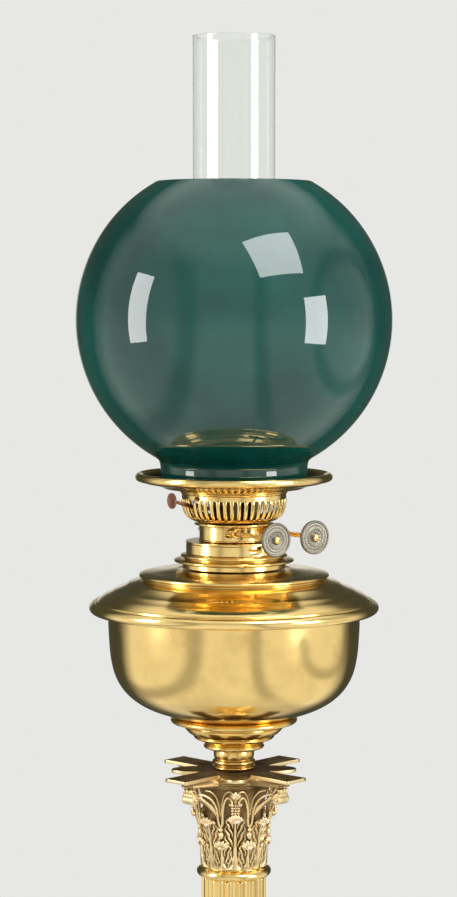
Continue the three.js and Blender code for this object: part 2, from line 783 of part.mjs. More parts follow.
// The burner's flange, with a skirt inside the collar and two lugs under the collar's lip.
function bayonetFlange() {
  const skirtInner = skirtRadius - spunWall;
  const skirtBottom = flangeBottom - skirtHeight;
  const disc = turned([
    [flangeHoleRadius, flangeBottom], [skirtInner, flangeBottom], [skirtInner, skirtBottom],
    [skirtRadius, skirtBottom], [skirtRadius, flangeBottom], [collarRadius, flangeBottom],
    [collarRadius, flangeTop], [flangeHoleRadius, flangeTop],
  ], midSides);
  const lugTop = collarBottom + collarGrooveHeight - seatGap;
  const lugReach = collarRadius - collarWall - 2 * seatGap;
  const half = lugWidth / 2;
  const lug = block([-half, -lugReach, lugTop - lugHeight], [half, -skirtInner - spunWall / 2, lugTop]);
  const rest = notchAzimuth + bayonetTwist - burnerTurn;
  const lugs = [rest, rest + 180].map((turn) => lug.clone().rotateZ(turn * degree));
  return part('bayonet_flange', join(disc, ...lugs), polishedBrass);
}

function burnerNeck() {
  const outline = washerOutline(neckRadius, neckRadius - spunWall, neckBottom, neckBottom + neckHeight);
  const drum = turned(outline, midSides);
  const reach = neckRadius + cutOverrun;
  const holes = [-1, 1].map((side) =>
    crossRod(spindleHoleRadius, -reach, reach, side * spindleOffset, spindleHeight, pinSides));
  return part('burner_neck', cut(drum, ...holes), polishedBrass);
}

function tubeGuide(x, bottom, top) {
  return prism(oblong(tubeHalfLength + seatGap, tubeHalfThickness + seatGap, x), bottom, top);
}

function basketFloor() {
  const edge = floorThickness * floorRoundShare;
  const disc = turned([
    [0, floorBottom], [floorRadius - edge, floorBottom], [floorRadius, floorBottom + edge],
    [floorRadius, floorTop - edge], [floorRadius - edge, floorTop], [0, floorTop],
  ], midSides);
  const slots = [-tubeOffset, tubeOffset].map((x) =>
    tubeGuide(x, floorBottom - cutOverrun, floorTop + cutOverrun));
  const across = wheelTipRadius + seatGap;
  const along = wheelThickness / 2 + seatGap;
  const pockets = [];
  for (const x of [-spindleOffset, spindleOffset]) {
    for (const y of [-wheelSpacing / 2, wheelSpacing / 2]) {
      pockets.push(block(
        [x - across, y - along, floorBottom - cutOverrun],
        [x + across, y + along, spindleHeight + wheelTipRadius + seatGap],
      ));
    }
  }
  return part('basket_floor', cut(disc, ...slots, ...pockets), polishedBrass);
}

// A bowl of sheet with upright slots. Its columns go bar, slot, bar, slot from +X round.
// The bar half-way round is left out, which makes the window that the lever comes out of.
function basket() {
  const outer = scaled(basketShares, basketRadius, basketHeight, basketBottom);
  const inner = outer.map(([radius, height]) => [radius - basketWall, height]);
  const columns = 2 * slotCount;
  const pitch = 2 * Math.PI / slotCount;
  const barStart = -pitch * (1 - slotShare) / 2;
  const levels = outer.length;
  const leverBar = columns / 2;
  const place = [];
  for (let j = 0; j < columns; j++) {
    const angle = barStart + pitch * Math.floor(j / 2) + (j % 2) * pitch * (1 - slotShare);
    for (const wall of [outer, inner]) {
      for (const [radius, height] of wall) {
        place.push(radius * Math.cos(angle), radius * Math.sin(angle), height);
      }
    }
  }
  const at = (j, wall, i) => (j % columns) * 2 * levels + wall * levels + i;
  const open = (j, i) => {
    const column = (j + columns) % columns;
    const inSlot = column % 2 === 1 || column === leverBar;
    return inSlot && i >= slotFirstLevel && i < slotLastLevel;
  };
  const index = [];
  const quad = (a, b, c, d) => index.push(a, b, c, a, c, d);
  for (let j = 0; j < columns; j++) {
    const k = j + 1;
    for (let i = 0; i + 1 < levels; i++) {
      if (open(j, i)) {
        if (!open(j - 1, i)) quad(at(j, 0, i), at(j, 1, i), at(j, 1, i + 1), at(j, 0, i + 1));
        if (!open(j + 1, i)) quad(at(k, 1, i), at(k, 0, i), at(k, 0, i + 1), at(k, 1, i + 1));
        if (i === slotFirstLevel) quad(at(j, 0, i), at(k, 0, i), at(k, 1, i), at(j, 1, i));
        if (i + 1 === slotLastLevel) {
          quad(at(j, 1, i + 1), at(k, 1, i + 1), at(k, 0, i + 1), at(j, 0, i + 1));
        }
      } else {
        quad(at(j, 0, i), at(k, 0, i), at(k, 0, i + 1), at(j, 0, i + 1));
        quad(at(k, 1, i), at(j, 1, i), at(j, 1, i + 1), at(k, 1, i + 1));
      }
    }
    quad(at(j, 1, 0), at(k, 1, 0), at(k, 0, 0), at(j, 0, 0));
    const last = levels - 1;
    quad(at(j, 0, last), at(k, 0, last), at(k, 1, last), at(j, 1, last));
  }
  const geometry = new THREE.BufferGeometry();
  geometry.setAttribute('position', new THREE.Float32BufferAttribute(place, 3));
  geometry.setIndex(index);
  return part('basket', geometry, polishedBrass);
}

const tubeBottom = flangeBottom - tubeBelowFlange;
const tubeTop = flangeTop + tubeAboveFlange;

function wickTube(name, side) {
  const x = side * tubeOffset;
  const outer = oblong(tubeHalfLength, tubeHalfThickness, x);
  const inner = oblong(tubeHalfLength - thinWall, tubeHalfThickness - thinWall, x);
  const pipe = sleeve(outer, inner, tubeBottom, tubeTop);
  const face = x + side * tubeHalfThickness;
  const windows = [-1, 1].map((end) => {
    const y = end * wheelSpacing / 2;
    const [near, far] = [face - side * 2 * thinWall, face + side * cutOverrun];
    const half = [wheelWindowWidth / 2, wheelWindowHeight / 2];
    return block(
      [Math.min(near, far), y - half[0], spindleHeight - half[1]],
      [Math.max(near, far), y + half[0], spindleHeight + half[1]],
    );
  });
  return part(name, cut(pipe, ...windows), polishedBrass);
}

function wick(name, side) {
  const outline = oblong(wickHalfLength, wickHalfThickness, side * tubeOffset);
  return part(name, prism(outline, tubeBottom - wickTail, tubeTop + wickProud), wovenWick);
}

function winderSpindle(name, side) {
  const front = -(knobDistance - seatGap);
  const back = Math.sqrt(neckRadius ** 2 - spindleOffset ** 2) + spindleTail;
  const shaft = crossRod(spindleRadius, front, back, side * spindleOffset, spindleHeight, pinSides);
  return part(name, shaft, warmBrass);
}

// Two toothed wheels on a hub, one near each edge of the wick.
function wickWheels(name, side) {
  const star = new THREE.Shape();
  for (let i = 0; i < 2 * wheelTeeth; i++) {
    const angle = Math.PI * i / wheelTeeth;
    const radius = i % 2 === 0 ? wheelTipRadius : wheelRootRadius;
    const [x, y] = [radius * Math.cos(angle), radius * Math.sin(angle)];
    if (i === 0) star.moveTo(x, y);
    else star.lineTo(x, y);
  }
  const wheel = new THREE.ExtrudeGeometry(star, { depth: wheelThickness, bevelEnabled: false })
    .rotateX(Math.PI / 2)
    .translate(side * spindleOffset, wheelThickness / 2, spindleHeight);
  const half = wheelSpacing / 2;
  const hub = crossRod(wheelHubRadius, -half, half, side * spindleOffset, spindleHeight, pinSides);
  const reach = half + wheelThickness + cutOverrun;
  const hole = crossRod(spindleHoleRadius, -reach, reach, side * spindleOffset, spindleHeight, pinSides);
  const pair = join(hub, wheel.clone().translate(0, -half, 0), wheel.clone().translate(0, half, 0));
  return part(name, cut(pair, hole), warmBrass);
}

// The knob: a disc with a raised rim and a small round boss, bored for the spindle.
function winderKnob(name, side) {
  const rimInner = knobRadius - knobRimWidth;
  const face = knobThickness - knobRimHeight;
  const disc = turned([
    [spindleHoleRadius, 0], [knobRadius, 0], [knobRadius, knobThickness], [rimInner, knobThickness],
    [rimInner - knobRimHeight, face], [knobBossRadius, face], [knobBossRadius, knobThickness],
    [spindleHoleRadius, knobThickness],
  ], smallSides);
  disc.rotateX(Math.PI / 2).translate(side * spindleOffset, knobThickness - knobDistance, spindleHeight);
  return part(name, disc, paleSteel);
}

function knobScrew(name, side) {
  const back = -(knobDistance + seatGap);
  const front = back - screwHeadThickness;
  const head = crossRod(knobBossRadius, front, back, side * spindleOffset, spindleHeight, pinSides);
  return part(name, head, warmBrass);
}

// The bearing tube of a winder, fitted to the round of the neck.
function winderBush(name, side) {
  const start = -Math.sqrt(neckRadius ** 2 - (spindleOffset + bushRadius) ** 2);
  const end = -Math.sqrt(neckRadius ** 2 - spindleOffset ** 2) - bushLength;
  const x = side * spindleOffset;
  const bush = crossRod(bushRadius, end, start, x, spindleHeight, pinSides);
  const hole = crossRod(spindleHoleRadius, end - cutOverrun, start + cutOverrun, x, spindleHeight, pinSides);
  const drum = rod(neckRadius + seatGap, neckHeight * 2, neckBottom - neckHeight / 2, midSides);
  return part(name, cut(bush, hole, drum), warmBrass);
}

// The dome over the wick tubes, with a slot for each snuffer sleeve.
function flameSpreader() {
  const bottom = holderBottom;
  const shoulder = bottom + domeFlangeThickness + domeWallHeight;
  const rise = bottom + domeHeight - shoulder;
  const outer = [];
  const inner = [];
  for (let i = 0; i <= domeSteps; i++) {
    const angle = Math.PI / 2 * i / domeSteps;
    outer.push([domeRadius * Math.cos(angle), shoulder + rise * Math.sin(angle)]);
    inner.push([(domeRadius - thinWall) * Math.cos(angle), shoulder + (rise - thinWall) * Math.sin(angle)]);
  }
  const dome = turned([
    [domeRadius - thinWall, bottom], [domeFlangeRadius, bottom],
    [domeFlangeRadius, bottom + domeFlangeThickness], [domeRadius, bottom + domeFlangeThickness],
    ...outer, ...inner.reverse(),
  ], midSides);
  const halfLength = tubeHalfLength + seatGap + snufferWall + domeSlotGap;
  const halfThickness = tubeHalfThickness + seatGap + snufferWall + domeSlotGap;
  const slots = [-tubeOffset, tubeOffset].map((x) =>
    prism(oblong(halfLength, halfThickness, x), bottom - cutOverrun, bottom + domeHeight + cutOverrun));
  return part('flame_spreader', cut(dome, ...slots), polishedBrass);
}

// Two sleeves round the wick tubes, joined by a web, with a lug over the lever's tip.
function snuffer() {
  const top = snufferBottom + snufferHeight;
  const webTop = snufferBottom + snufferWebThickness;
  const innerLength = tubeHalfLength + seatGap;
  const innerThickness = tubeHalfThickness + seatGap;
  const outerThickness = innerThickness + snufferWall;
  const sleeves = [-tubeOffset, tubeOffset].map((x) => sleeve(
    oblong(innerLength + snufferWall, outerThickness, x), oblong(innerLength, innerThickness, x),
    snufferBottom, top,
  ));
  const webHalf = snufferWebWidth / 2;
  const webReach = tubeOffset - innerThickness - snufferWall / 2;
  const web = block([-webReach, -webHalf, snufferBottom], [webReach, webHalf, webTop]);
  const lugStart = tubeOffset + innerThickness + snufferWall / 2;
  const lugHalf = snufferLugWidth / 2;
  const lug = block([-snufferLugReach, -lugHalf, snufferBottom], [-lugStart, lugHalf, webTop]);
  return part('snuffer', join(sleeves[0], sleeves[1], web, lug), polishedBrass);
}

// The lever: from its tip under the snuffer's lug, through its eye, and out to the round thumb tab.
function extinguisherLever() {
  const tipTop = leverPivot - leverTipDrop;
  const half = leverDepth / 2;
  const tabMiddle = leverPivot + tabRise;
  const arm = sidePlate([
    [-leverTipReach, tipTop - leverDepth], [-leverTipReach, tipTop], [-leverPivotReach, leverPivot + half],
    [-tabReach, tabMiddle + half], [-tabReach, tabMiddle - half], [-leverPivotReach, leverPivot - half],
  ], leverThickness, 0);
  const side = leverThickness / 2;
  const eye = crossRod(leverEyeRadius, -side, side, -leverPivotReach, leverPivot, pinSides);
  const tab = new THREE.CylinderGeometry(tabRadius, tabRadius, tabThickness, smallSides)
    .rotateZ(Math.PI / 2)
    .translate(-tabReach, 0, tabMiddle);
  const reach = side + cutOverrun;
  const hole = crossRod(leverPinRadius + seatGap, -reach, reach, -leverPivotReach, leverPivot, pinSides);
  return part('extinguisher_lever', cut(join(arm, eye, tab), hole), copper);
}

// Two ears on a foot strip that stands on the basket's floor.
function leverBracket() {
  const bottom = floorTop + seatGap;
  const inside = leverThickness / 2 + seatGap;
  const shoulder = leverPivot - earShoulderDrop;
  const top = leverPivot + earTopHeight;
  const ear = [
    [-bracketFootInner, bottom], [-bracketFootOuter, bottom], [-earTopReach, shoulder], [-earTopReach, top],
    [-leverPivotReach + earTopHeight, top], [-leverPivotReach + earTopHeight, shoulder],
    [-bracketFootInner, bottom + 2 * earThickness],
  ];
  const ears = [-1, 1].map((side) => sidePlate(ear, earThickness, side * (inside + earThickness / 2)));
  const strip = block(
    [-bracketFootOuter + earThickness, -inside - earThickness, bottom],
    [-bracketFootInner, inside + earThickness, bottom + earThickness],
  );
  const reach = inside + earThickness + cutOverrun;
  const hole = crossRod(leverPinRadius + seatGap, -reach, reach, -leverPivotReach, leverPivot, pinSides);
  return part('lever_bracket', cut(join(ears[0], ears[1], strip), hole), warmBrass);
}

function leverPin() {
  const reach = leverThickness / 2 + seatGap + 2 * earThickness;
  const pin = crossRod(leverPinRadius, -reach, reach, -leverPivotReach, leverPivot, pinSides);
  return part('lever_pin', pin, plainSteel);
}

// The gallery: a flat hub, a dish that slopes up from it, and a rolled rim.
function gallery() {
  const rollMiddleHeight = galleryBottom + galleryHeight;
  const rollCentre = galleryRadius - galleryRollRadius;
  const roll = arc(rollCentre, rollMiddleHeight, galleryRollRadius, galleryRollFrom, galleryRollTo,
    galleryRollSteps);
  const dishEdge = [rollCentre - galleryRollRadius, rollMiddleHeight - galleryLipDrop];
  return part('gallery', turned([
    [galleryHoleRadius, galleryBottom], [galleryHubRadius, galleryBottom], ...roll, dishEdge,
    [galleryHubRadius, hubTop], [galleryHoleRadius, hubTop],
  ], wideSides), polishedBrass);
}

// A ring with upright spring prongs round the chimney's foot.
function chimneyHolder() {
  const inner = chimneyFootRadius + seatGap;
  const outer = inner + prongThickness;
  const floorTopHeight = holderBottom + holderFloorThickness;
  const top = floorTopHeight + prongHeight;
  const ring = turned([
    [domeFlangeRadius + seatGap, holderBottom], [outer, holderBottom], [outer, top], [inner, top],
    [inner, floorTopHeight], [domeFlangeRadius + seatGap, floorTopHeight],
  ], midSides);
  const gapWidth = 2 * Math.PI * outer / prongCount * prongGapShare;
  const gap = block(
    [-gapWidth / 2, inner - cutOverrun, floorTopHeight + prongThickness],
    [gapWidth / 2, outer + cutOverrun, top + cutOverrun],
  );
  const gaps = [];
  for (let i = 0; i < prongCount; i++) gaps.push(gap.clone().rotateZ(2 * Math.PI * i / prongCount));
  return part('chimney_holder', cut(ring, ...gaps), polishedBrass);
}

function chimney() {
  const rise = bellyRiseShares.map(([out, up]) => [
    chimneyFootRadius + (chimneyBellyRadius - chimneyFootRadius) * out,
    chimneyBottom + chimneyFootHeight + (chimneyBellyHeight - chimneyFootHeight) * up,
  ]);
  const fall = bellyFallShares.map(([out, up]) => [
    chimneyBellyRadius + (chimneyTubeRadius - chimneyBellyRadius) * out,
    chimneyBottom + chimneyBellyHeight + (chimneyShoulderHeight - chimneyBellyHeight) * up,
  ]);
  const foot = [chimneyFootRadius, chimneyBottom];
  const mouth = [chimneyTubeRadius, chimneyBottom + chimneyHeight];
  const outer = [foot, ...rise, ...fall, mouth];
  const inner = outer.map(([radius, height]) => [radius - chimneyWall, height]);
  return part('chimney', turned([...outer, ...inner.reverse()], midSides), clearGlass);
}

const dishSlope = (galleryHeight - galleryLipDrop - spunWall)
  / (galleryRadius - 2 * galleryRollRadius - galleryHubRadius);
const globeBottom = hubTop + seatGap + dishSlope * (globeNeckRadius - galleryHubRadius);

// The ball shade: a short neck, the ball, and a flat-cut mouth at the top.
function globeShade() {
  const neckTop = globeBottom + globeNeckHeight;
  const middle = neckTop + Math.sqrt(globeRadius ** 2 - globeThroatRadius ** 2);
  const from = -Math.acos(globeThroatRadius / globeRadius) / degree;
  const to = Math.acos(globeMouthRadius / globeRadius) / degree;
  const ball = arc(0, middle, globeRadius, from, to, globeSteps);
  const neck = globeNeckShares.map(([out, up]) => [
    globeNeckRadius + (globeThroatRadius - globeNeckRadius) * out, globeBottom + globeNeckHeight * up,
  ]);
  const mouth = ball[ball.length - 1][1];
  const innerRadius = globeRadius - globeWall;
  const innerTo = Math.asin((mouth - middle) / innerRadius) / degree;
  const innerFrom = -Math.acos((globeThroatRadius - globeWall) / innerRadius) / degree;
  const innerBall = arc(0, middle, innerRadius, innerTo, innerFrom, globeSteps - 2);
  const innerNeck = neck.slice().reverse().map(([radius, height]) => [radius - globeWall, height]);
  return part('globe_shade', turned([...neck, ...ball, ...innerBall, ...innerNeck], wideSides), tealGlass);
}

const base = new THREE.Group();
base.add(feltPad(), plinth(), ballast(), tieRod(), tieWasher(), tieNut());
base.add(boredTurning('column_foot', footShares, footRadius, footHeight, footBottom,
  rodHoleRadius, midSides, polishedBrass));
base.add(columnShaft());
base.add(boredTurning('astragal_ring', astragalShares, astragalRadius, astragalHeight, astragalBottom,
  rodHoleRadius, midSides, polishedBrass));
base.add(capital(), abacus());
base.add(boredTurning('stem_knop', knopShares, knopRadius, knopHeight, knopBottom,
  rodHoleRadius, smallSides, warmBrass));
base.add(fontFoot(), fontBowl(), fontTop(), collarBase(), fontCollar());

const burner = new THREE.Group();
burner.rotation.z = burnerTurn * degree;
burner.add(bayonetFlange(), burnerNeck(), basketFloor(), basket());
burner.add(wickTube('wick_tube_left', -1), wickTube('wick_tube_right', 1));
burner.add(wick('wick_left', -1), wick('wick_right', 1));
for (const [side, word] of [[-1, 'left'], [1, 'right']]) {
  burner.add(winderSpindle(`winder_spindle_${word}`, side), wickWheels(`wick_wheels_${word}`, side));
  burner.add(winderKnob(`winder_knob_${word}`, side), knobScrew(`knob_screw_${word}`, side));
  burner.add(winderBush(`winder_bush_${word}`, side));
}
burner.add(snuffer(), extinguisherLever(), leverBracket(), leverPin());
burner.add(flameSpreader());

const upper = new THREE.Group();
upper.add(gallery(), chimneyHolder(), chimney(), globeShade());

const lamp = new THREE.Group();
lamp.add(base, burner, upper);

export default lamp;
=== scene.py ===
"""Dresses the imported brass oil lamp: every visible piece gets its fine shape and its finish.

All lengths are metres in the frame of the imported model: +Z up, -Y the front, origin under the felt.
Turned pieces are outlines of [radius, height] pairs carried round the axis. Most outlines are written
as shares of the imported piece's own radius and height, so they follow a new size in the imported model.
"""

import json
import math

import bpy
import numpy as np
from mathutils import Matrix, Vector


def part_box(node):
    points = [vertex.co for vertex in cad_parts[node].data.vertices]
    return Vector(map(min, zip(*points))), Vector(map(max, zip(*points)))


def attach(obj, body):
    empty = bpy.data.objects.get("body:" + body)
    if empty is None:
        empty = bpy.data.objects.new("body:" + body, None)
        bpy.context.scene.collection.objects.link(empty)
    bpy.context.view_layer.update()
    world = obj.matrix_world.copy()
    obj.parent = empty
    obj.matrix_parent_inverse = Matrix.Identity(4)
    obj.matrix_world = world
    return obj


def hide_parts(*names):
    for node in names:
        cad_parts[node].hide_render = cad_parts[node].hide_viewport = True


bl_info = {
    "name": "Brass oil lamp",
    "version": (1, 0, 0),
    "blender": (4, 5, 0),
    "location": "3D View > Sidebar > Brass Lamp",
    "description": "Builds the fine shapes and finishes of a brass oil lamp round its packed frame",
    "category": "Object",
}

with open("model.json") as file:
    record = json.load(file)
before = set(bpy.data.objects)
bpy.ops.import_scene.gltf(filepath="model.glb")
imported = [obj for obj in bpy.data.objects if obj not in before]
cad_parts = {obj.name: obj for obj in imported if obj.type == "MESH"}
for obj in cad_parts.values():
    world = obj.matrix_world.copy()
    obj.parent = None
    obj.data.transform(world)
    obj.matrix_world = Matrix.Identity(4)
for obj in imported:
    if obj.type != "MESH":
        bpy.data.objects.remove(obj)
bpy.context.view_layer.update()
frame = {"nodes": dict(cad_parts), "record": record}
MM = 0.001
DEGREE = math.pi / 180
BURNER_TURN = 31 * DEGREE  # from the front towards +X, where the winders point
AXIS = 0.05 * MM  # the least radius, where a turned piece closes on its axis
PLAY = 0.3 * MM  # between the tie rod and the bores round it
TUBES_X = (-8 * MM, 8 * MM)  # the two wick tubes, across the burner
WHEELS_Y = (-4 * MM, 4 * MM)  # the two wheels on each spindle
SPINDLE_BORE = 1.8 * MM
PIN_BORE = 1.4 * MM
LEAD_SHARE = 0.15  # of a corner's reach, where its guard points lie
SIDE_SHARE = 0.42  # of the shorter side beside a corner, the most that its rounding takes
SHARPEST = 2.6  # the turn, in radians, past which a corner's reach grows no more


def solid_of(parts):
    """Joins (points, faces) parts into one list of points and one list of faces."""
    points, faces, start = [], [], 0
    for part_points, part_faces in parts:
        points.append(part_points)
        faces.extend(block + start for block in part_faces)
        start += len(part_points)
    return np.concatenate(points), faces


def grid_part(grid, wrap_rows=False):
    """A grid of points, rings by columns, as points and four-cornered faces between neighbours."""
    rows, columns = grid.shape[:2]
    here = np.arange(rows * columns).reshape(rows, columns)
    row = np.arange(rows if wrap_rows else rows - 1)
    column = np.arange(columns)
    down = here[np.ix_((row + 1) % rows, column)]
    across = here[np.ix_(row, (column + 1) % columns)]
    both = here[np.ix_((row + 1) % rows, (column + 1) % columns)]
    start = here[np.ix_(row, column)]
    quads = np.stack([start, across, both, down], -1).reshape(-1, 4)
    return grid.reshape(-1, 3), [quads]


def looped_part(rings):
    """Rings whose last joins the first, as a closed part."""
    return grid_part(np.array(rings), wrap_rows=True)


def capped_part(grid):
    """A tube of rings, closed at both ends by a fan round the middle of its first and last ring."""
    points, (quads,) = grid_part(grid)
    columns = grid.shape[1]
    first, last = np.arange(columns), np.arange(columns) + len(points) - columns
    middle = len(points)
    points = np.concatenate([points, grid[:1].mean(1), grid[-1:].mean(1)])
    ends = [
        np.stack([np.full(columns, middle), np.roll(first, -1), first], -1),
        np.stack([np.full(columns, middle + 1), last, np.roll(last, -1)], -1),
    ]
    return points, [quads, *ends]


def welded(points, faces, step=1e-7):
    """Merges points that lie on each other, and drops the faces and corners that vanish with that."""
    keys = np.round(points / step).astype(np.int64)
    _, first, inverse = np.unique(keys, axis=0, return_index=True, return_inverse=True)
    inverse = inverse.reshape(-1)
    kept = []
    for block in faces:
        block = inverse[block]
        same = block == np.roll(block, -1, 1)
        clean = block[~same.any(1)]
        if len(clean):
            kept.append(clean)
        if block.shape[1] == 4:
            single = block[same.sum(1) == 1]
            flags = same[same.sum(1) == 1]
            if len(single):
                turn = (np.argmax(flags, 1)[:, None] + np.arange(1, 4)) % 4
                kept.append(np.take_along_axis(single, turn, 1))
    return points[first], kept


def volume_of(points, faces):
    """Sum over fans of each face of a . (b x c), six times the closed volume."""
    total = 0.0
    for block in faces:
        for i in range(1, block.shape[1] - 1):
            a, b, c = (points[block[:, k]] for k in (0, i, i + 1))
            total += float(np.einsum("ij,ij->i", a, np.cross(b, c)).sum())
    return total


def hollows(mesh, points):
    """How far each point's neighbours stand above its tangent plane, from -1 (ridge) to 1 (hollow).

    The slope is softened over the neighbours three times, and a sixth of a full slope counts as 1.
    """
    rounds, gain = 3, 6
    edges = np.empty(len(mesh.edges) * 2, np.int64)
    mesh.edges.foreach_get("vertices", edges)
    a, b = edges.reshape(-1, 2).T
    normals = np.empty(len(points) * 3)
    mesh.vertices.foreach_get("normal", normals)
    normals = normals.reshape(-1, 3)
    way = points[b] - points[a]
    length = np.linalg.norm(way, axis=1) + 1e-9
    rise_a = np.einsum("ij,ij->i", normals[a], way) / length
    rise_b = -np.einsum("ij,ij->i", normals[b], way) / length
    count = np.bincount(a, minlength=len(points)) + np.bincount(b, minlength=len(points))
    count = np.maximum(count, 1)
    value = (np.bincount(a, rise_a, len(points)) + np.bincount(b, rise_b, len(points))) / count
    for _ in range(rounds):
        spread = np.bincount(a, value[b], len(points)) + np.bincount(b, value[a], len(points))
        value = (value + spread / count) / 2
    return np.clip(value * gain, -1, 1)


def put(name, parts, material, body, replaced, marks=None):
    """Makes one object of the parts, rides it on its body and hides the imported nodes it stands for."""
    points, faces = solid_of([facing_out(*welded(*part)) for part in parts])
    mesh = mesh_of(points, faces, name)
    marks = marks(points) if marks else hollows(mesh, points)
    layer = mesh.attributes.new("hollow", "FLOAT", "POINT")
    layer.data.foreach_set("value", marks.astype(np.float32))
    mesh.materials.append(material)
    piece = bpy.data.objects.new(name, mesh)
    bpy.context.scene.collection.objects.link(piece)
    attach(piece, body)
    if replaced:
        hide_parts(*replaced)
    return piece


def points_of(mesh):
    """The places of a mesh's points."""
    place = np.empty(len(mesh.vertices) * 3)
    mesh.vertices.foreach_get("co", place)
    return place.reshape(-1, 3)


def span(node):
    """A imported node's greatest distance from the axis, and its lowest and highest height."""
    place = points_of(frame["nodes"][node].data)
    return np.hypot(place[:, 0], place[:, 1]).max(), place[:, 2].min(), place[:, 2].max()


def bulged(rows, closed=False, steps=8):
    """The line through [across, up, bulge] rows.

    A bulge bends the stretch to the next row into an arc whose height is bulge times half its chord,
    to the left of the way it goes.
    """
    rows = [tuple(row) + (0,) * (3 - len(row)) for row in rows]
    if closed:
        rows = rows + [rows[0]]
    line = []
    for (ax, ay, bulge), (bx, by, _) in zip(rows, rows[1:]):
        line.append((ax, ay))
        if not bulge:
            continue
        half = math.hypot(bx - ax, by - ay) / 2
        rise = bulge * half
        radius = (half * half + rise * rise) / (2 * rise)
        away = radius - rise
        nx, ny = -(by - ay) / (2 * half), (bx - ax) / (2 * half)
        cx, cy = (ax + bx) / 2 - nx * away, (ay + by) / 2 - ny * away
        start = math.atan2(ay - cy, ax - cx)
        sweep = -4 * math.atan(bulge)
        for i in range(1, steps):
            angle = start + sweep * i / steps
            line.append((cx + abs(radius) * math.cos(angle), cy + abs(radius) * math.sin(angle)))
    if not closed:
        line.append(rows[-1][:2])
    return np.array(line, float)


def eased(line, radius, closed=True, steps=3, least=14 * DEGREE):
    """Rounds each corner of a line that turns by more than the least angle.

    The corner becomes a parabola between two points on its sides, radius x tan(half the turn) away.
    One more point on each side keeps the flat beside it flat in shading.
    """
    before = line - np.roll(line, 1, 0)
    after = np.roll(line, -1, 0) - line
    before_length = np.linalg.norm(before, axis=1) + 1e-12
    after_length = np.linalg.norm(after, axis=1) + 1e-12
    before /= before_length[:, None]
    after /= after_length[:, None]
    turn = np.arccos(np.clip((before * after).sum(1), -1, 1))
    reach = radius * np.tan(np.minimum(turn, SHARPEST) / 2)
    reach = np.minimum(reach, SIDE_SHARE * np.minimum(before_length, after_length))
    start = line - before * reach[:, None]
    end = line + after * reach[:, None]
    t = np.linspace(0, 1, steps + 1)[None, :, None]
    curve = (1 - t) ** 2 * start[:, None] + 2 * t * (1 - t) * line[:, None] + t * t * end[:, None]
    lead = (start - before * reach[:, None] * LEAD_SHARE)[:, None]
    trail = (end + after * reach[:, None] * LEAD_SHARE)[:, None]
    curve = np.concatenate([lead, curve, trail], 1)
    corner = turn > least
    if not closed:
        corner[[0, -1]] = False
    keep = np.ones(curve.shape[:2], bool)
    keep[~corner, 1:] = False
    curve[~corner, 0] = line[~corner]
    return curve[keep]


def revolved(line, sides):
    """Carries [radius, height] pairs round the axis: x = r cos a, y = r sin a, z = h."""
    return on_ring(line[:, :1], around(sides), line[:, 1:2])


def around(count):
    """Angles evenly round a circle."""
    return 2 * math.pi * np.arange(count) / count


def on_ring(radius, angle, height):
    """Points round the axis: (r cos a, r sin a, z)."""
    return np.stack([radius * np.cos(angle), radius * np.sin(angle), height + 0 * radius * angle], -1)


def curve_through(rows, count):
    """A smooth line through rows: each stretch is a cubic whose ends lean along their neighbours."""
    rows = np.array(rows, float)
    lean = np.gradient(rows, axis=0)
    t = np.linspace(0, 1, count, endpoint=False)[None, :, None]
    a, b, m, n = rows[:-1, None], rows[1:, None], lean[:-1, None], lean[1:, None]
    line = ((2 * t**3 - 3 * t**2 + 1) * a + (t**3 - 2 * t**2 + t) * m
            + (3 * t**2 - 2 * t**3) * b + (t**3 - t**2) * n)
    return np.concatenate([line.reshape(-1, 2), rows[-1:]])


def in_place(line, node):
    """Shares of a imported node's radius and height made into metres."""
    radius, bottom, top = span(node)
    return np.stack([line[:, 0] * radius, bottom + line[:, 1] * (top - bottom)], -1)


def lathe(line, fillet=0.3 * MM, sides=128):
    """A closed outline of [radius, height] pairs, its corners rounded, carried round the axis."""
    return looped_part(revolved(eased(line, fillet), sides))


def outline(rows, node):
    """Rows of [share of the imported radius, share of its height, bulge] made into metres and bent."""
    radius, bottom, top = span(node)
    return bulged([(across * radius, bottom + up * (top - bottom), *bend) for across, up, *bend in rows],
                  steps=8)


def rod_bore():
    """The radius of the bores that the tie rod runs through."""
    return span("tie_rod")[0] + PLAY


def turned(name, rows, slot, bore=None):
    """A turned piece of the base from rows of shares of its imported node, closed along its bore."""
    bore = bore or rod_bore()
    line = outline(rows, name)
    inner = np.array([[bore, line[-1, 1]], [bore, line[0, 1]]])
    part = lathe(np.concatenate([line, inner]), bpy.context.scene.brass_lamp_sizes.arris)
    make(name, [part], slot, "base")


def shell(line, wall):
    """An outline and the same outline moved to its left by the wall, as one closed outline."""
    along = np.gradient(line, axis=0)
    along /= np.linalg.norm(along, axis=1)[:, None] + 1e-12
    inside = line + wall * np.stack([-along[:, 1], along[:, 0]], -1)
    return np.concatenate([line, inside[::-1]])


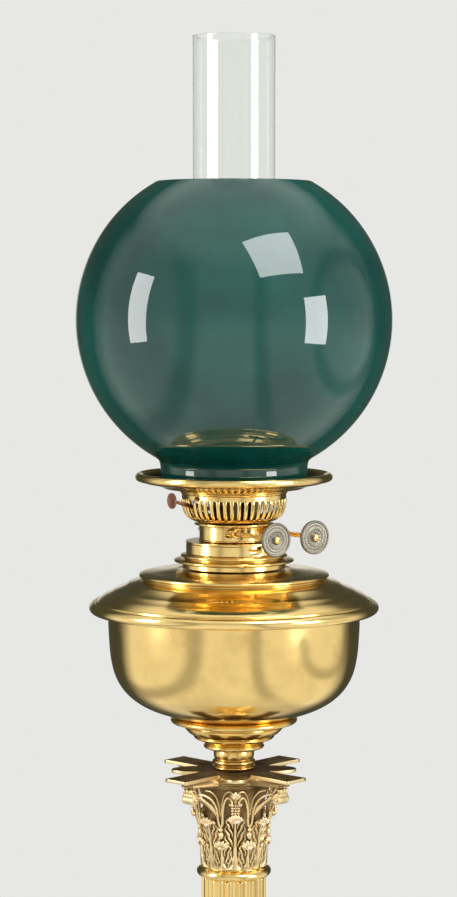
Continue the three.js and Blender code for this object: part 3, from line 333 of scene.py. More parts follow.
def pierced(outer, inner, open_cells):
    """A wall between two grids of rings, without its open cells, closed all round each opening."""
    rows, columns = outer.shape[:2]
    here = np.arange(rows * columns).reshape(rows, columns)
    there = here + rows * columns
    right = np.roll(np.arange(columns), -1)
    closed = ~open_cells
    low, high = np.s_[:-1], np.s_[1:]

    def quads(a, b, c, d, keep):
        """The four-cornered faces of the cells to keep."""
        return np.stack([a, b, c, d], -1)[keep]

    above = np.concatenate([closed[1:], np.zeros((1, columns), bool)])
    below = np.concatenate([np.zeros((1, columns), bool), closed[:-1]])
    after, before = np.roll(closed, -1, 1), np.roll(closed, 1, 1)
    h, t = here, there
    faces = [
        quads(h[low], h[low][:, right], h[high][:, right], h[high], closed),
        quads(t[low][:, right], t[low], t[high], t[high][:, right], closed),
        quads(h[high], h[high][:, right], t[high][:, right], t[high], closed & ~above),
        quads(h[low][:, right], h[low], t[low], t[low][:, right], closed & ~below),
        quads(h[low][:, right], t[low][:, right], t[high][:, right], h[high][:, right],
              closed & ~after),
        quads(t[low], h[low], h[high], t[high], closed & ~before),
    ]
    return np.concatenate([outer.reshape(-1, 3), inner.reshape(-1, 3)]), faces


def mesh_of(points, faces, name="cutter"):
    """A mesh of points and blocks of faces."""
    mesh = bpy.data.meshes.new(name)
    mesh.vertices.add(len(points))
    mesh.vertices.foreach_set("co", points.astype(np.float32).ravel())
    corners = np.concatenate([block.ravel() for block in faces]).astype(np.int32)
    sizes = np.concatenate([np.full(len(block), block.shape[1]) for block in faces])
    mesh.loops.add(len(corners))
    mesh.loops.foreach_set("vertex_index", corners)
    mesh.polygons.add(len(sizes))
    starts = np.concatenate([[0], np.cumsum(sizes)[:-1]]).astype(np.int32)
    mesh.polygons.foreach_set("loop_start", starts)
    mesh.polygons.foreach_set("use_smooth", np.ones(len(sizes), bool))
    mesh.update(calc_edges=True)
    mesh.validate()
    return mesh


def facing_out(points, faces):
    """Turns the faces of a closed part outwards."""
    if volume_of(points, faces) < 0:
        faces = [block[:, ::-1] for block in faces]
    return points, faces


def carved(part, *cutters):
    """A closed part with other closed parts cut out of it."""
    made = []
    for points, faces in (part, *cutters):
        points, faces = facing_out(*welded(points, faces))
        made.append(bpy.data.objects.new("cutter", mesh_of(points, faces)))
        bpy.context.scene.collection.objects.link(made[-1])
    for cutter in made[1:]:
        cut = made[0].modifiers.new("cut", "BOOLEAN")
        cut.operation, cut.solver, cut.object = "DIFFERENCE", "EXACT", cutter
    bpy.context.view_layer.update()
    mesh = bpy.data.meshes.new_from_object(made[0].evaluated_get(bpy.context.evaluated_depsgraph_get()))
    mesh.calc_loop_triangles()
    points = points_of(mesh)
    corners = np.empty(len(mesh.loop_triangles) * 3, np.int64)
    mesh.loop_triangles.foreach_get("vertices", corners)
    for item in made:
        old = item.data
        bpy.data.objects.remove(item)
        bpy.data.meshes.remove(old)
    bpy.data.meshes.remove(mesh)
    return points, [corners.reshape(-1, 3)]


def swept(path, radius, sides, squash):
    """A bar along a path: each ring lies across it, in a frame that turns as little as it can."""
    ahead = np.gradient(path, axis=0)
    ahead /= np.linalg.norm(ahead, axis=1)[:, None] + 1e-12
    side = np.empty_like(ahead)
    guess = np.array([0.0, 0.0, 1.0]) if abs(ahead[0, 2]) < 0.9 else np.array([1.0, 0.0, 0.0])
    for i, way in enumerate(ahead):
        guess = guess - way * guess.dot(way)
        guess /= np.linalg.norm(guess)
        side[i] = guess
    other = np.cross(ahead, side)
    angle = around(sides)
    radius = np.broadcast_to(np.asarray(radius, float), len(path))[:, None, None]
    ring = (side[:, None] * np.cos(angle)[None, :, None] * squash
            + other[:, None] * np.sin(angle)[None, :, None])
    return capped_part(path[:, None] + radius * ring)


def turn_z(part, angle):
    """Turns a part about the Z axis."""
    points, faces = part
    c, s = math.cos(angle), math.sin(angle)
    x, y, z = points.T
    return np.stack([x * c - y * s, x * s + y * c, z], -1), faces


def fresh_material(name):
    """An empty node material with its output, and the tree's helper."""
    material = bpy.data.materials.new(name)
    material.use_nodes = True
    material.node_tree.nodes.clear()
    return material, Tree(material.node_tree)


class Tree:
    """Adds nodes to a tree: values and links are given by socket name."""

    def __init__(self, tree):
        """Keeps the tree that the nodes go into."""
        self.tree = tree

    def add(self, kind, sockets=None, out=0, **settings):
        """Adds a node and gives one of its outputs, or the node itself where out is None."""
        node = self.tree.nodes.new("ShaderNode" + kind)
        for key, value in settings.items():
            setattr(node, key, value)
        for key, value in (sockets or {}).items():
            if isinstance(value, bpy.types.NodeSocket):
                self.tree.links.new(value, node.inputs[key])
            else:
                node.inputs[key].default_value = value
        return node.outputs[out] if out is not None else node

    def maths(self, operation, a, b=0.0, clamp=False):
        """A sum, product or other operation on two values."""
        return self.add("Math", {0: a, 1: b}, operation=operation, use_clamp=clamp)

    def blend(self, share, a, b):
        """A colour from a to b by a share."""
        return self.add("Mix", {0: share, 6: tint(a), 7: tint(b)}, out=2, data_type="RGBA")

    def spread(self, value, low, high, to_low=0.0, to_high=1.0):
        """A value from one range brought to another, held to it."""
        sockets = {0: value, 1: low, 2: high, 3: to_low, 4: to_high}
        return self.add("MapRange", sockets)

    def noise(self, place, scale, detail=3.0, roughness=0.55):
        """Cloudy noise between 0 and 1."""
        sockets = {"Vector": place, "Scale": scale, "Detail": detail, "Roughness": roughness}
        return self.add("TexNoise", sockets)

    def object_place(self):
        """The place of a point in its object's own frame."""
        return self.add("TexCoord", out=3)

    def hollow(self):
        """The marks of a piece: above 0 in its hollows, below 0 on its ridges."""
        return self.add("Attribute", out=2, attribute_name="hollow")

    def bump(self, height, strength, distance):
        """Fine relief in the shading."""
        return self.add("Bump", {"Height": height, "Strength": strength, "Distance": distance})

    def finish(self, sockets):
        """Sends a principled shader with these sockets to the material's output."""
        shader = self.add("BsdfPrincipled", sockets)
        self.add("OutputMaterial", {"Surface": shader}, out=None)


def tint(colour):
    """A colour with its alpha, or a socket as it is."""
    return colour if isinstance(colour, bpy.types.NodeSocket) else (*colour[:3], 1.0)


def shade_of(colour, share):
    """A colour made darker or lighter by a share."""
    return tuple(channel * share for channel in colour[:3])


def metal(name, colour, dark, rough, smudge=0.12, spin=0.35, patina=0.3, pits=0.0, round_marks=True,
          wear_and_painted_light=None):
    """Metal with soft hand smudges and fine turning lines. Its hollows are darkened towards the tarnish
    colour, partly as tarnish that gathers there and partly as painted shade. Its ridges are lightened, partly
    as rubbed wear and partly as a painted highlight.
    """
    material, t = fresh_material(name)
    place = t.object_place()
    cloud = t.noise(place, 38.0, 4.0, 0.6)
    grain = t.noise(place, 900.0, 2.0, 0.6)
    if round_marks:
        apart = t.add("SeparateXYZ", {0: place}, out=None)
        flat = t.add("CombineXYZ", {0: apart.outputs[0], 1: apart.outputs[1], 2: 0.0})
        away = t.add("VectorMath", {0: flat}, out=1, operation="LENGTH")
        ring = t.add("CombineXYZ", {0: away, 1: apart.outputs[2], 2: 0.0})
        lines = t.noise(ring, 2400.0, 2.0, 0.7)
    else:
        lines = t.noise(place, 1800.0, 2.0, 0.7)
    hollow = t.hollow()
    # Painted shade and tarnish: the hollows are darkened towards the tarnish colour, stronger where the ridge
    # colour is given
    grime_and_shade = t.spread(hollow, 0.02, 0.3) if wear_and_painted_light else t.spread(hollow, 0.06, 0.5)
    grime_and_shade = t.maths("MULTIPLY", grime_and_shade, t.spread(cloud, 0.3, 0.6, 0.55, 1.0))
    stain = t.spread(cloud, 0.48, 0.72, 0.0, patina)
    warm = t.blend(stain, colour, dark)
    base = t.blend(t.maths("MULTIPLY", grime_and_shade, 0.85), warm, shade_of(dark, 0.32))
    # Painted highlight and wear: the ridges are lightened towards a paler colour
    ridge = t.spread(hollow, -0.4, -0.04, 0.9 if wear_and_painted_light else 0.4, 0.0)
    lift = wear_and_painted_light or tuple(min(1.0, channel * 1.18 + 0.03) for channel in colour[:3])
    base = t.blend(ridge, base, lift)
    roughness = t.spread(cloud, 0.35, 0.7, rough, rough + smudge)
    roughness = t.maths("ADD", roughness, t.spread(lines, 0.5, 0.8, 0.0, 0.06))
    roughness = t.maths("ADD", roughness, t.maths("MULTIPLY", grime_and_shade, 0.3), clamp=True)
    height = t.maths("ADD", t.maths("MULTIPLY", lines, spin), t.maths("MULTIPLY", grain, pits))
    normal = t.bump(height, 0.35, 0.00004)
    t.finish({"Base Color": base, "Metallic": 1.0, "Roughness": roughness, "Normal": normal})
    return material


def coloured_glass(name, colour, edge):
    """Cased glass: a deep colour with slight clouds and streaks, under a clear polished skin."""
    material, t = fresh_material(name)
    place = t.object_place()
    cloud = t.noise(place, 9.0, 3.0, 0.5)
    streak = t.noise(place, 60.0, 2.0, 0.5)
    base = t.blend(t.spread(cloud, 0.35, 0.65), colour, edge)
    base = t.blend(t.spread(streak, 0.45, 0.8, 0.0, 0.12), base, shade_of(colour, 1.6))
    wave = t.noise(place, 14.0, 2.0, 0.4)
    t.finish({
        "Base Color": base, "Roughness": t.spread(streak, 0.3, 0.8, 0.02, 0.045), "IOR": 1.52,
        "Coat Weight": 0.3, "Coat Roughness": 0.015, "Coat IOR": 1.5,
        "Subsurface Weight": 0.25, "Subsurface Scale": 0.004, "Subsurface Radius": (0.2, 1.0, 0.9),
        "Normal": t.bump(wave, 0.08, 0.0006),
    })
    return material


def clear_glass(name, colour):
    """Blown clear glass with faint waves and a little dust."""
    material, t = fresh_material(name)
    place = t.object_place()
    wave = t.noise(place, 22.0, 2.0, 0.4)
    dust = t.noise(place, 320.0, 3.0, 0.6)
    base = t.blend(t.spread(dust, 0.45, 0.75, 0.0, 0.25), colour, shade_of(colour, 0.93))
    t.finish({
        "Base Color": base, "Roughness": t.spread(dust, 0.5, 0.8, 0.0, 0.05), "IOR": 1.47,
        "Transmission Weight": 1.0, "Normal": t.bump(wave, 0.12, 0.0004),
    })
    return material


def cloth(name, colour, dark, scale, sheen):
    """Felt or woven cotton: crossed threads or a nap, with a soft sheen."""
    material, t = fresh_material(name)
    place = t.object_place()
    nap = t.noise(place, scale, 4.0, 0.65)
    weave = t.add("TexWave", {"Vector": place, "Scale": scale * 0.6, "Distortion": 1.5},
                  out=1, bands_direction="Z")
    base = t.blend(t.spread(nap, 0.3, 0.7), dark, colour)
    height = t.maths("ADD", nap, t.maths("MULTIPLY", weave, 0.5))
    t.finish({
        "Base Color": base, "Roughness": 0.9, "Sheen Weight": sheen,
        "Normal": t.bump(height, 0.6, 0.0003),
    })
    return material


def casting(name, colour):
    """Rough grey iron with a sandy skin and rust spots."""
    material, t = fresh_material(name)
    place = t.object_place()
    sand = t.noise(place, 420.0, 4.0, 0.7)
    rust = t.spread(t.noise(place, 60.0, 4.0, 0.6), 0.55, 0.7)
    base = t.blend(rust, colour, (0.12, 0.045, 0.02))
    t.finish({
        "Base Color": base, "Metallic": 0.5, "Roughness": t.spread(sand, 0.3, 0.7, 0.55, 0.85),
        "Normal": t.bump(sand, 0.5, 0.0003),
    })
    return material


def round_about(rings, line):
    """Carries an outline along closed rings: a row is the ring of its first value at its height."""
    return looped_part([np.column_stack([rings(across), np.full(len(rings(across)), up)])
                        for across, up in line])


def square_ring(half, corner=1.2 * MM, steps=4):
    """A square with rounded corners: half x (1, 1) + corner x (cos - 1, sin - 1), four times."""
    angle = np.linspace(0, math.pi / 2, steps + 1)
    corner = min(corner, half * 0.9)
    arc = np.column_stack([np.cos(angle) - 1, np.sin(angle) - 1])
    arc = half + corner * np.concatenate([[[0, -1.3]], arc, [[-1.3, 0]]])
    quarters = []
    for turn in range(4):
        c, s = math.cos(turn * math.pi / 2), math.sin(turn * math.pi / 2)
        quarters.append(arc @ np.array([[c, s], [-s, c]]))
    return np.concatenate(quarters)


def oblong_ring(half_length, half_thickness, x, steps=10):
    """A slot shape, long in Y: two half circles of half the thickness, joined by straight sides."""
    angle = np.linspace(0, math.pi, steps + 1)
    straight = half_length - half_thickness
    top = np.column_stack([np.cos(angle), np.sin(angle)]) * half_thickness + [0, straight]
    return np.concatenate([top, -top]) + [x, 0]


def along_y(line, x, z, sides=32):
    """Carries [radius, distance] pairs round a line along Y: (x + r cos a, y, z + r sin a)."""
    angle = around(sides)
    radius, distance = line[:, :1], line[:, 1:2]
    return np.stack([x + radius * np.cos(angle), distance + 0 * angle, z + radius * np.sin(angle)], -1)


def burner_box(node):
    """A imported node's lowest and highest corner in the burner's own turned frame."""
    place, _ = turn_z((points_of(frame["nodes"][node].data), []), -BURNER_TURN)
    return place.min(0), place.max(0)


def burner_middle(node):
    """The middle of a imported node's box in the burner's own frame."""
    low, high = burner_box(node)
    return (low + high) / 2


def on_burner(name, slot, body, *parts, look=None):
    """A piece whose parts are made in the burner's own frame, brought to the lamp's."""
    make(name, [turn_z(part, BURNER_TURN) for part in parts], slot, body, look=look)


def box_line(inner, outer, low, high):
    """A plain wall from an inner radius to an outer one, between two heights."""
    return np.array([[inner, low], [outer, low], [outer, high], [inner, high]])


def length(name, description, default):
    """A size in metres."""
    return bpy.props.FloatProperty(
        name=name, description=description, default=default, min=0.0, unit="LENGTH", precision=4)


def whole(name, description, default):
    """A count."""
    return bpy.props.IntProperty(name=name, description=description, default=default, min=1)


def colour(name, description, default):
    """A linear colour."""
    return bpy.props.FloatVectorProperty(
        name=name, description=description, default=default, size=3, min=0, max=1, subtype="COLOR")


class BrassLampColours(bpy.types.PropertyGroup):
    """Colours of the lamp's finishes, as linear values."""

    brass: colour("Brass", "Polished yellow brass", (0.86, 0.63, 0.25))
    # The tarnish colours, darkened further, also paint shade into the hollows of each brass
    brass_tarnish_and_shade: colour("Brass tarnish", "Brown of brass that was not rubbed", (0.42, 0.23, 0.06))
    warm: colour("Warm brass", "Brass with more copper in it", (0.84, 0.57, 0.19))
    warm_tarnish_and_shade: colour("Warm tarnish", "Brown of the warmer brass", (0.36, 0.17, 0.04))
    cast: colour("Cast brass", "Brass of the capital and its plate", (0.56, 0.38, 0.17))
    # Besides its tarnish, this is the painted shade that darkens the casting's hollows
    cast_tarnish_and_shade: colour("Cast tarnish", "Dark of the casting's hollows", (0.10, 0.075, 0.04))
    # The casting's ridges: partly rubbed wear, partly a painted highlight
    cast_ridge_wear_and_highlight: colour("Cast brass, worn", "Bright brass of the casting's ridges", (0.92, 0.74, 0.42))
    rubbed: colour("Rubbed tips", "Pinkish brass where the leaves were rubbed", (0.88, 0.67, 0.43))
    # Brass inside the burner: partly soot, partly painted shade inside the basket
    soot_and_shade: colour("Sooty brass", "Brass inside the burner, browned by heat", (0.16, 0.10, 0.05))
    plate: colour("Plate", "Worn pale plating on the knobs", (0.20, 0.185, 0.15))
    copper: colour("Copper", "Dull copper of the thumb tab", (0.25, 0.115, 0.08))
    steel: colour("Steel", "Plain steel", (0.42, 0.42, 0.41))
    iron: colour("Iron", "Cast iron of the weight", (0.055, 0.052, 0.05))
    felt: colour("Felt", "Green felt", (0.03, 0.085, 0.04))
    wick: colour("Wick", "Cotton wick", (0.78, 0.72, 0.58))
    shade: colour("Shade", "Teal glass of the ball shade", (0.006, 0.100, 0.080))
    shade_deep: colour("Shade, deep", "Teal glass where it is thickest", (0.002, 0.050, 0.042))
    chimney: colour("Chimney", "Faint tint of the clear glass", (0.95, 0.97, 0.95))
    floor: colour("Floor", "Pale studio floor", (0.80, 0.80, 0.78))
    backdrop: colour("Backdrop", "Pale background that the eye sees", (0.80, 0.80, 0.78))


class BrassLampSizes(bpy.types.PropertyGroup):
    """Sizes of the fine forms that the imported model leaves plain."""

    arris: length("Arris", "Rounding of the edges of turned brass", 0.35 * MM)
    sheet: length("Sheet", "Thickness of the spun brass", 1.1 * MM)
    flutes: whole("Flutes", "Hollows round the column", 14)
    flute_depth: length("Flute depth", "Depth of a flute at its middle", 2.3 * MM)
    slots: whole("Slots", "Air slots round the basket", 46)
    leaves: whole("Leaves", "Leaves in each ring of the capital", 8)
    knob_beads: whole("Knob beads", "Raised beads round the face of a knob", 30)
    chimney_wall: length("Chimney wall", "Thickness of the chimney glass", 1.9 * MM)
    shade_wall: length("Shade wall", "Thickness of the shade glass", 3.2 * MM)


MADE = {}


def finish(slot):
    """The material of a slot, made when it is first asked for."""
    if slot not in MADE:
        c = bpy.context.scene.brass_lamp_colours
        recipes = {
            "polished_brass": lambda: metal(slot, c.brass, c.brass_tarnish_and_shade, 0.11),
            "warm_brass": lambda: metal(slot, c.warm, c.warm_tarnish_and_shade, 0.16, patina=0.4),
            # The casting gets strong painted shade in its hollows and a strong painted highlight on its
            # ridges, each partly real tarnish and wear
            "aged_brass": lambda: metal(slot, c.cast, c.cast_tarnish_and_shade, 0.26, smudge=0.2, spin=0.1,
                                        patina=0.5, pits=0.8, round_marks=False, wear_and_painted_light=c.cast_ridge_wear_and_highlight[:]),
            "rubbed_tips": lambda: metal(slot, c.rubbed, c.cast, 0.3, pits=0.6, round_marks=False),
            # Dark brass for the wick tubes and snuffer: partly soot, partly painted shade inside the basket
            "sooty_and_shaded_brass": lambda: metal(slot, c.soot_and_shade, shade_of(c.soot_and_shade, 0.4), 0.42, patina=0.6),
            "knob_metal": lambda: metal(slot, c.plate, shade_of(c.plate, 0.5), 0.34, spin=0.5,
                                        pits=0.8, round_marks=False),
            "copper": lambda: metal(slot, c.copper, shade_of(c.copper, 0.5), 0.4, pits=0.5,
                                    round_marks=False),
            "steel": lambda: metal(slot, c.steel, shade_of(c.steel, 0.5), 0.3, pits=0.3,
                                   round_marks=False),
            "cast_iron": lambda: casting(slot, c.iron),
            "felt": lambda: cloth(slot, c.felt, shade_of(c.felt, 0.5), 900.0, 0.4),
            "wick": lambda: cloth(slot, c.wick, shade_of(c.wick, 0.6), 700.0, 0.2),
            "clear_glass": lambda: clear_glass(slot, c.chimney),
            "teal_glass": lambda: coloured_glass(slot, c.shade, c.shade_deep),
        }
        MADE[slot] = recipes[slot]()
    return MADE[slot]


def dress(slot, *nodes):
    """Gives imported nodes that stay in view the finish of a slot."""
    for node in nodes:
        materials = frame["nodes"][node].data.materials
        materials.clear()
        materials.append(finish(slot))


def make(name, parts, slot, body, *replaced, marks=None, look=None):
    """A piece with the finish of its slot, or another look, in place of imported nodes."""
    return put(name + "_fine", parts, finish(look or slot), body, replaced or (name,), marks)


def added(name, parts, slot, body):
    """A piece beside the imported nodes, which stands for none of them by itself."""
    return put(name, parts, finish(slot), body, ())


def square_step(node, rows):
    """A square moulding: each row [share of half the side, share of the height, bulge] up its side."""
    low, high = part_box(node)
    half, bottom, top = (high[0] - low[0]) / 2, low[2], high[2]
    line = bulged([(across * half, bottom + up * (top - bottom), *rest) for across, up, *rest in rows],
                  steps=6)
    return half, eased(line, bpy.context.scene.brass_lamp_sizes.arris * 1.6, closed=False)


class BRASSLAMP_OT_base(bpy.types.Operator):
    """Builds the stepped square base, its felt, and finishes the weight and the rod inside it."""

    bl_idname = "brasslamp.base"
    bl_label = "Base"

    def execute(self, context):
        self.plinth()
        self.felt()
        dress("cast_iron", "ballast")
        dress("steel", "tie_rod", "tie_washer", "tie_nut")
        return {"FINISHED"}

    def plinth(self):
        """A moulding carried round squares with rounded corners: out up the face, back down the hollow."""
        outer = [
            (0.992, 0), (1, 0.008), (1, 0.135, -0.35), (0.985, 0.165), (0.975, 0.168), (0.972, 0.178),
            (0.962, 0.185, -0.8), (0.95, 0.212), (0.93, 0.216), (0.925, 0.226, 0.38), (0.848, 0.40),
            (0.848, 0.425), (0.857, 0.43), (0.857, 0.478), (0.805, 0.482), (0.8, 0.49), (0.8, 0.585),
            (0.808, 0.59, -0.85), (0.806, 0.622), (0.785, 0.628), (0.78, 0.64, 0.42), (0.63, 0.79),
            (0.604, 0.86), (0.6, 0.87), (0.6, 0.975), (0.59, 1),
        ]
        inner = [(0.54, 0.94), (0.54, 0.64), (0.72, 0.58), (0.77, 0.44), (0.8, 0.22), (0.955, 0.12),
                 (0.955, 0)]
        half, line = square_step("plinth", outer)
        _, hollow = square_step("plinth", inner)
        points, faces = round_about(self.ring, np.concatenate([line, hollow]))
        first = np.arange(len(self.ring(half)))
        start, end = first + len(first) * (len(line) - 1), first + len(first) * len(line)
        quads = faces[0]
        across = np.isin(quads, start).any(1) & np.isin(quads, end).any(1)
        quads = quads[~across]
        hole = np.arctan2(points[start, 1], points[start, 0])
        rings = [on_ring(rod_bore(), hole, height) for height in (line[-1, 1], hollow[0, 1])]
        n = len(points)
        points = np.concatenate([points, *rings])
        high, low = np.arange(len(hole)) + n, np.arange(len(hole)) + n + len(hole)
        turn = np.roll(np.arange(len(hole)), -1)
        more = [np.stack([a, a[turn], b[turn], b], -1) for a, b in ((start, high), (high, low), (low, end))]
        make("plinth", [(points, [quads, *more])], "polished_brass", "base")

    def ring(self, across):
        """A square of the plinth, its corners rounded by 1.4 mm."""
        return square_ring(across, 1.4 * MM)

    def felt(self):
        """A thin square pad whose edge is a half round."""
        low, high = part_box("felt_pad")
        half, bottom, top = high[0], low[2], high[2]
        edge = half - 0.35 * (top - bottom)
        line = bulged([(edge, bottom, -1), (edge, top)], steps=6)
        corner = 3 * MM
        points, _ = round_about(lambda across: square_ring(across, corner), line)
        grid = points.reshape(-1, len(square_ring(half, corner)), 3)
        make("felt_pad", [capped_part(grid)], "felt", "base")


class BRASSLAMP_OT_column(bpy.types.Operator):
    """Builds the column: its round foot, the fluted shaft and the astragal ring."""

    bl_idname = "brasslamp.column"
    bl_label = "Column"

    def execute(self, context):
        foot = [(0.93, 0), (0.94, 0.01), (0.955, 0.04, -0.85), (0.955, 0.29), (0.93, 0.31), (0.88, 0.32),
                (0.86, 0.34, 0.75), (0.80, 0.62), (0.825, 0.64), (0.83, 0.67), (0.835, 0.69, -0.8),
                (0.835, 0.88), (0.80, 0.91), (0.715, 0.92), (0.70, 0.935), (0.70, 1)]
        ring = [(0.872, 0), (0.895, 0.03), (0.92, 0.08, -0.78), (0.92, 0.80), (0.88, 0.86), (0.855, 0.885),
                (0.855, 0.94), (0.84, 0.97), (0.83, 1)]
        turned("column_foot", foot, "polished_brass")
        turned("astragal_ring", ring, "polished_brass")
        self.shaft(context.scene.brass_lamp_sizes)
        return {"FINISHED"}

    def shaft(self, sizes):
        """Flutes: r = R - depth x sqrt(1 - s squared), where s goes from -1 to 1 across a flute.

        The middle of the first flute is 0.4 of a pitch from +X.
        """
        radius, bottom, top = span("column_shaft")
        steps = 20
        angle = around(sizes.flutes * steps)
        pitch = 2 * math.pi / sizes.flutes
        across = ((angle + pitch * 0.1) % pitch - pitch / 2) / (pitch * 0.36)
        dip = sizes.flute_depth * np.sqrt(np.clip(1 - across ** 2, 0, 1))
        wall = 14 * MM
        rows = [(bottom, 0.0), (bottom + 0.2 * MM, 1.0), (bottom + 0.6 * MM, 1.0),
                *((bottom + (top - bottom) * share, 1.0) for share in (0.25, 0.5, 0.75)),
                (top - 0.6 * MM, 1.0), (top - 0.2 * MM, 1.0), (top, 0.0)]
        rings = [on_ring(radius - dip - (1 - full) * 0.2 * MM, angle, height) for height, full in rows]
        rings += [on_ring(wall, angle, height) for height in (top, bottom)]
        make("column_shaft", [looped_part(rings)], "polished_brass", "base")


def ball(centre, size, steps=(7, 12)):
    """An ellipsoid: centre + size x (sin a cos b, sin a sin b, cos a), closed at its poles."""
    down = np.linspace(0.12, math.pi - 0.12, steps[0])
    ring = on_ring(np.sin(down)[:, None], around(steps[1]), np.cos(down)[:, None])
    return capped_part(np.array(centre) + ring * np.array(size))


def on_bell(across, out, up, azimuth):
    """A point across a leaf, out from the axis and up, wrapped round the bell at an azimuth in degrees."""
    angle = azimuth * DEGREE + across / out
    return np.stack([out * np.sin(angle), -out * np.cos(angle), up], -1)


def turned_copies(part, count, first=0.0):
    """Copies of a part turned evenly about the axis."""
    return [turn_z(part, first + 2 * math.pi * i / count) for i in range(count)]


class BRASSLAMP_OT_capital(bpy.types.Operator):
    """Builds the Corinthian capital: bell, rings of leaves, stems, scrolls, buds and the abacus."""

    bl_idname = "brasslamp.capital"
    bl_label = "Capital"

    bell_radius = 25 * MM

    def execute(self, context):
        _, self.bottom, self.top = span("capital")
        self.leaf_count = context.scene.brass_lamp_sizes.leaves
        half_ring = self.leaf_count // 2
        self.tips = []
        self.bell()
        self.leaves("capital_lower_leaves", self.leaf_count, 0.5, (19.7, 20.2, 20.9, 21.8, 22.6, 22.8),
                    (0, 4.3, 9.4, 13.9, 16.3, 15.2), 5.9, 15.1, 6)
        self.leaves("capital_middle_leaves", half_ring, 0.0, (19.2, 19.8, 20.8, 22.4, 25.0, 26.0),
                    (0, 8.5, 18.0, 27.0, 33.6, 32.8), 6.7, 33.0, 7)
        self.leaves("capital_corner_leaves", half_ring, 0.5, (19.2, 19.8, 20.8, 22.2, 24.8, 25.8),
                    (0, 8.0, 16.8, 25.0, 30.8, 30.0), 6.7, 30.0, 6)
        self.growth()
        put("capital_tips", self.tips, finish("rubbed_tips"), "base", ())
        self.abacus()
        return {"FINISHED"}

    def bell(self):
        """The vase behind the leaves, from the astragal to a thin lip."""
        rows = [(0.76, 0), (0.785, 0.015), (0.795, 0.04), (0.78, 0.07), (0.745, 0.3), (0.75, 0.55),
                (0.80, 0.74), (0.89, 0.88), (0.965, 0.945), (1, 0.96), (1, 1)]
        line = curve_through([(a * self.bell_radius, self.bottom + b * (self.top - self.bottom))
                              for a, b in rows], 5)
        inner = np.array([[rod_bore(), line[-1, 1]], [rod_bore(), line[0, 1]]])
        bell = lathe(np.concatenate([line, inner]), 0.2 * MM, 96)
        # The whole bell is marked as a shallow hollow, so it is darkened all over: partly tarnish, partly
        # painted shade behind the leaves
        make("capital", [bell], "aged_brass", "base", marks=lambda points: np.full(len(points), 0.2))

    def leaves(self, name, number, first, out, up, half, tip, lobes):
        """Leaves on a grid: across x along, with a spear rib, slanting veins and a scalloped edge."""
        path = curve_through(np.stack([np.array(out), np.array(up)], -1) * MM, 12)
        path[:, 1] += self.bottom
        count = len(path)
        v = np.linspace(0, 1, count)[:, None]
        u = np.linspace(-1, 1, 41)[None, :]
        long = up[-2] / 34.0
        width = half * MM * np.interp(v, [0, 0.1, 0.35, 0.6, 0.85, 1], [0.92, 0.96, 1, 0.97, 0.8, 0.45])
        width = width * (1 + 0.09 * np.cos(2 * math.pi * (v * 7 * long - 2.1)))
        rib = np.interp(v, [0, 0.08, 0.2, 0.4, 0.8, 1], [0.72, 0.46, 0.28, 0.17, 0.13, 0.08])
        spear = np.clip(1 - (np.abs(u) / rib) ** 2, 0, 1) ** 0.5
        spear = spear * np.interp(v, [0, 0.3, 0.6, 1], [2.2, 1.8, 1.3, 0.8])
        slant = v * 7 * long - np.abs(u) * 2.1
        vein = (0.5 + 0.5 * np.cos(2 * math.pi * slant)) ** 1.2
        side = np.clip((np.abs(u) - rib * 0.9) / 0.12, 0, 1) * np.clip((1 - np.abs(u)) / 0.12, 0, 1)
        edge = np.exp(-((np.abs(u) - 0.93) / 0.06) ** 2)
        dish = -0.9 * (np.abs(u) - 0.15) * (1 - np.abs(u)) * 2
        relief = MM * (spear + 1.05 * vein * side + 0.2 * edge + 0.7 * dish)
        relief = relief * np.clip((1 - v) / 0.08, 0.25, 1)
        along = np.gradient(path, axis=0)
        along /= np.linalg.norm(along, axis=1)[:, None]
        normal = np.stack([along[:, 1], -along[:, 0]], -1)
        copies = []
        for back in (False, True):
            lift = relief if not back else np.full_like(relief, -1.5 * MM)
            r = path[:, :1] + normal[:, :1] * lift
            z = path[:, 1:] + normal[:, 1:] * lift
            drop = (u ** 2) * 1.1 * MM * np.clip((v - 0.6) / 0.4, 0, 1)
            copies.append(on_bell(u * width, r, z - drop, 0.0))
        front, rear = copies
        grid = np.concatenate([front, rear[:, ::-1]], 1)
        pitch = 2 * math.pi / number
        added(name, turned_copies(capped_part(grid), number, first * pitch), "aged_brass", "base")
        tips = self.lobes(tip, path[-1, 0], lobes)
        self.tips += [copy for part in tips for copy in turned_copies(part, number, first * pitch)]

    def lobes(self, height, out, count):
        """The rolled tip of a leaf: round-ended lobes that fan out from one root."""
        made = []
        for i in range(count):
            lean = (i - (count - 1) / 2) / ((count - 1) / 2)
            angle = lean * 60 * DEGREE
            size = 5.4 - 1.1 * lean ** 2
            root = np.array([math.sin(angle) * 2.1, -out / MM + 0.6, height - 0.8])
            tip = root + [math.sin(angle) * size * 0.85, -0.7 - 0.5 * (1 - lean ** 2),
                          math.cos(angle) * size]
            share = np.linspace(0, 1, 10)
            path = root + (tip - root) * share[:, None]
            path[:, 1] -= 1.0 * np.sin(share * math.pi)
            thick = np.interp(share, [0, 0.15, 0.55, 0.8, 0.93, 1], [0.5, 0.8, 1.05, 0.98, 0.62, 0.2])
            points, faces = swept(path * MM, thick * MM, 12, 0.85)
            points[:, 2] += self.bottom
            made.append((points, faces))
        made.append(ball((0, -out, self.bottom + (height - 0.8) * MM), (3.0 * MM, 1.4 * MM, 1.3 * MM)))
        return made

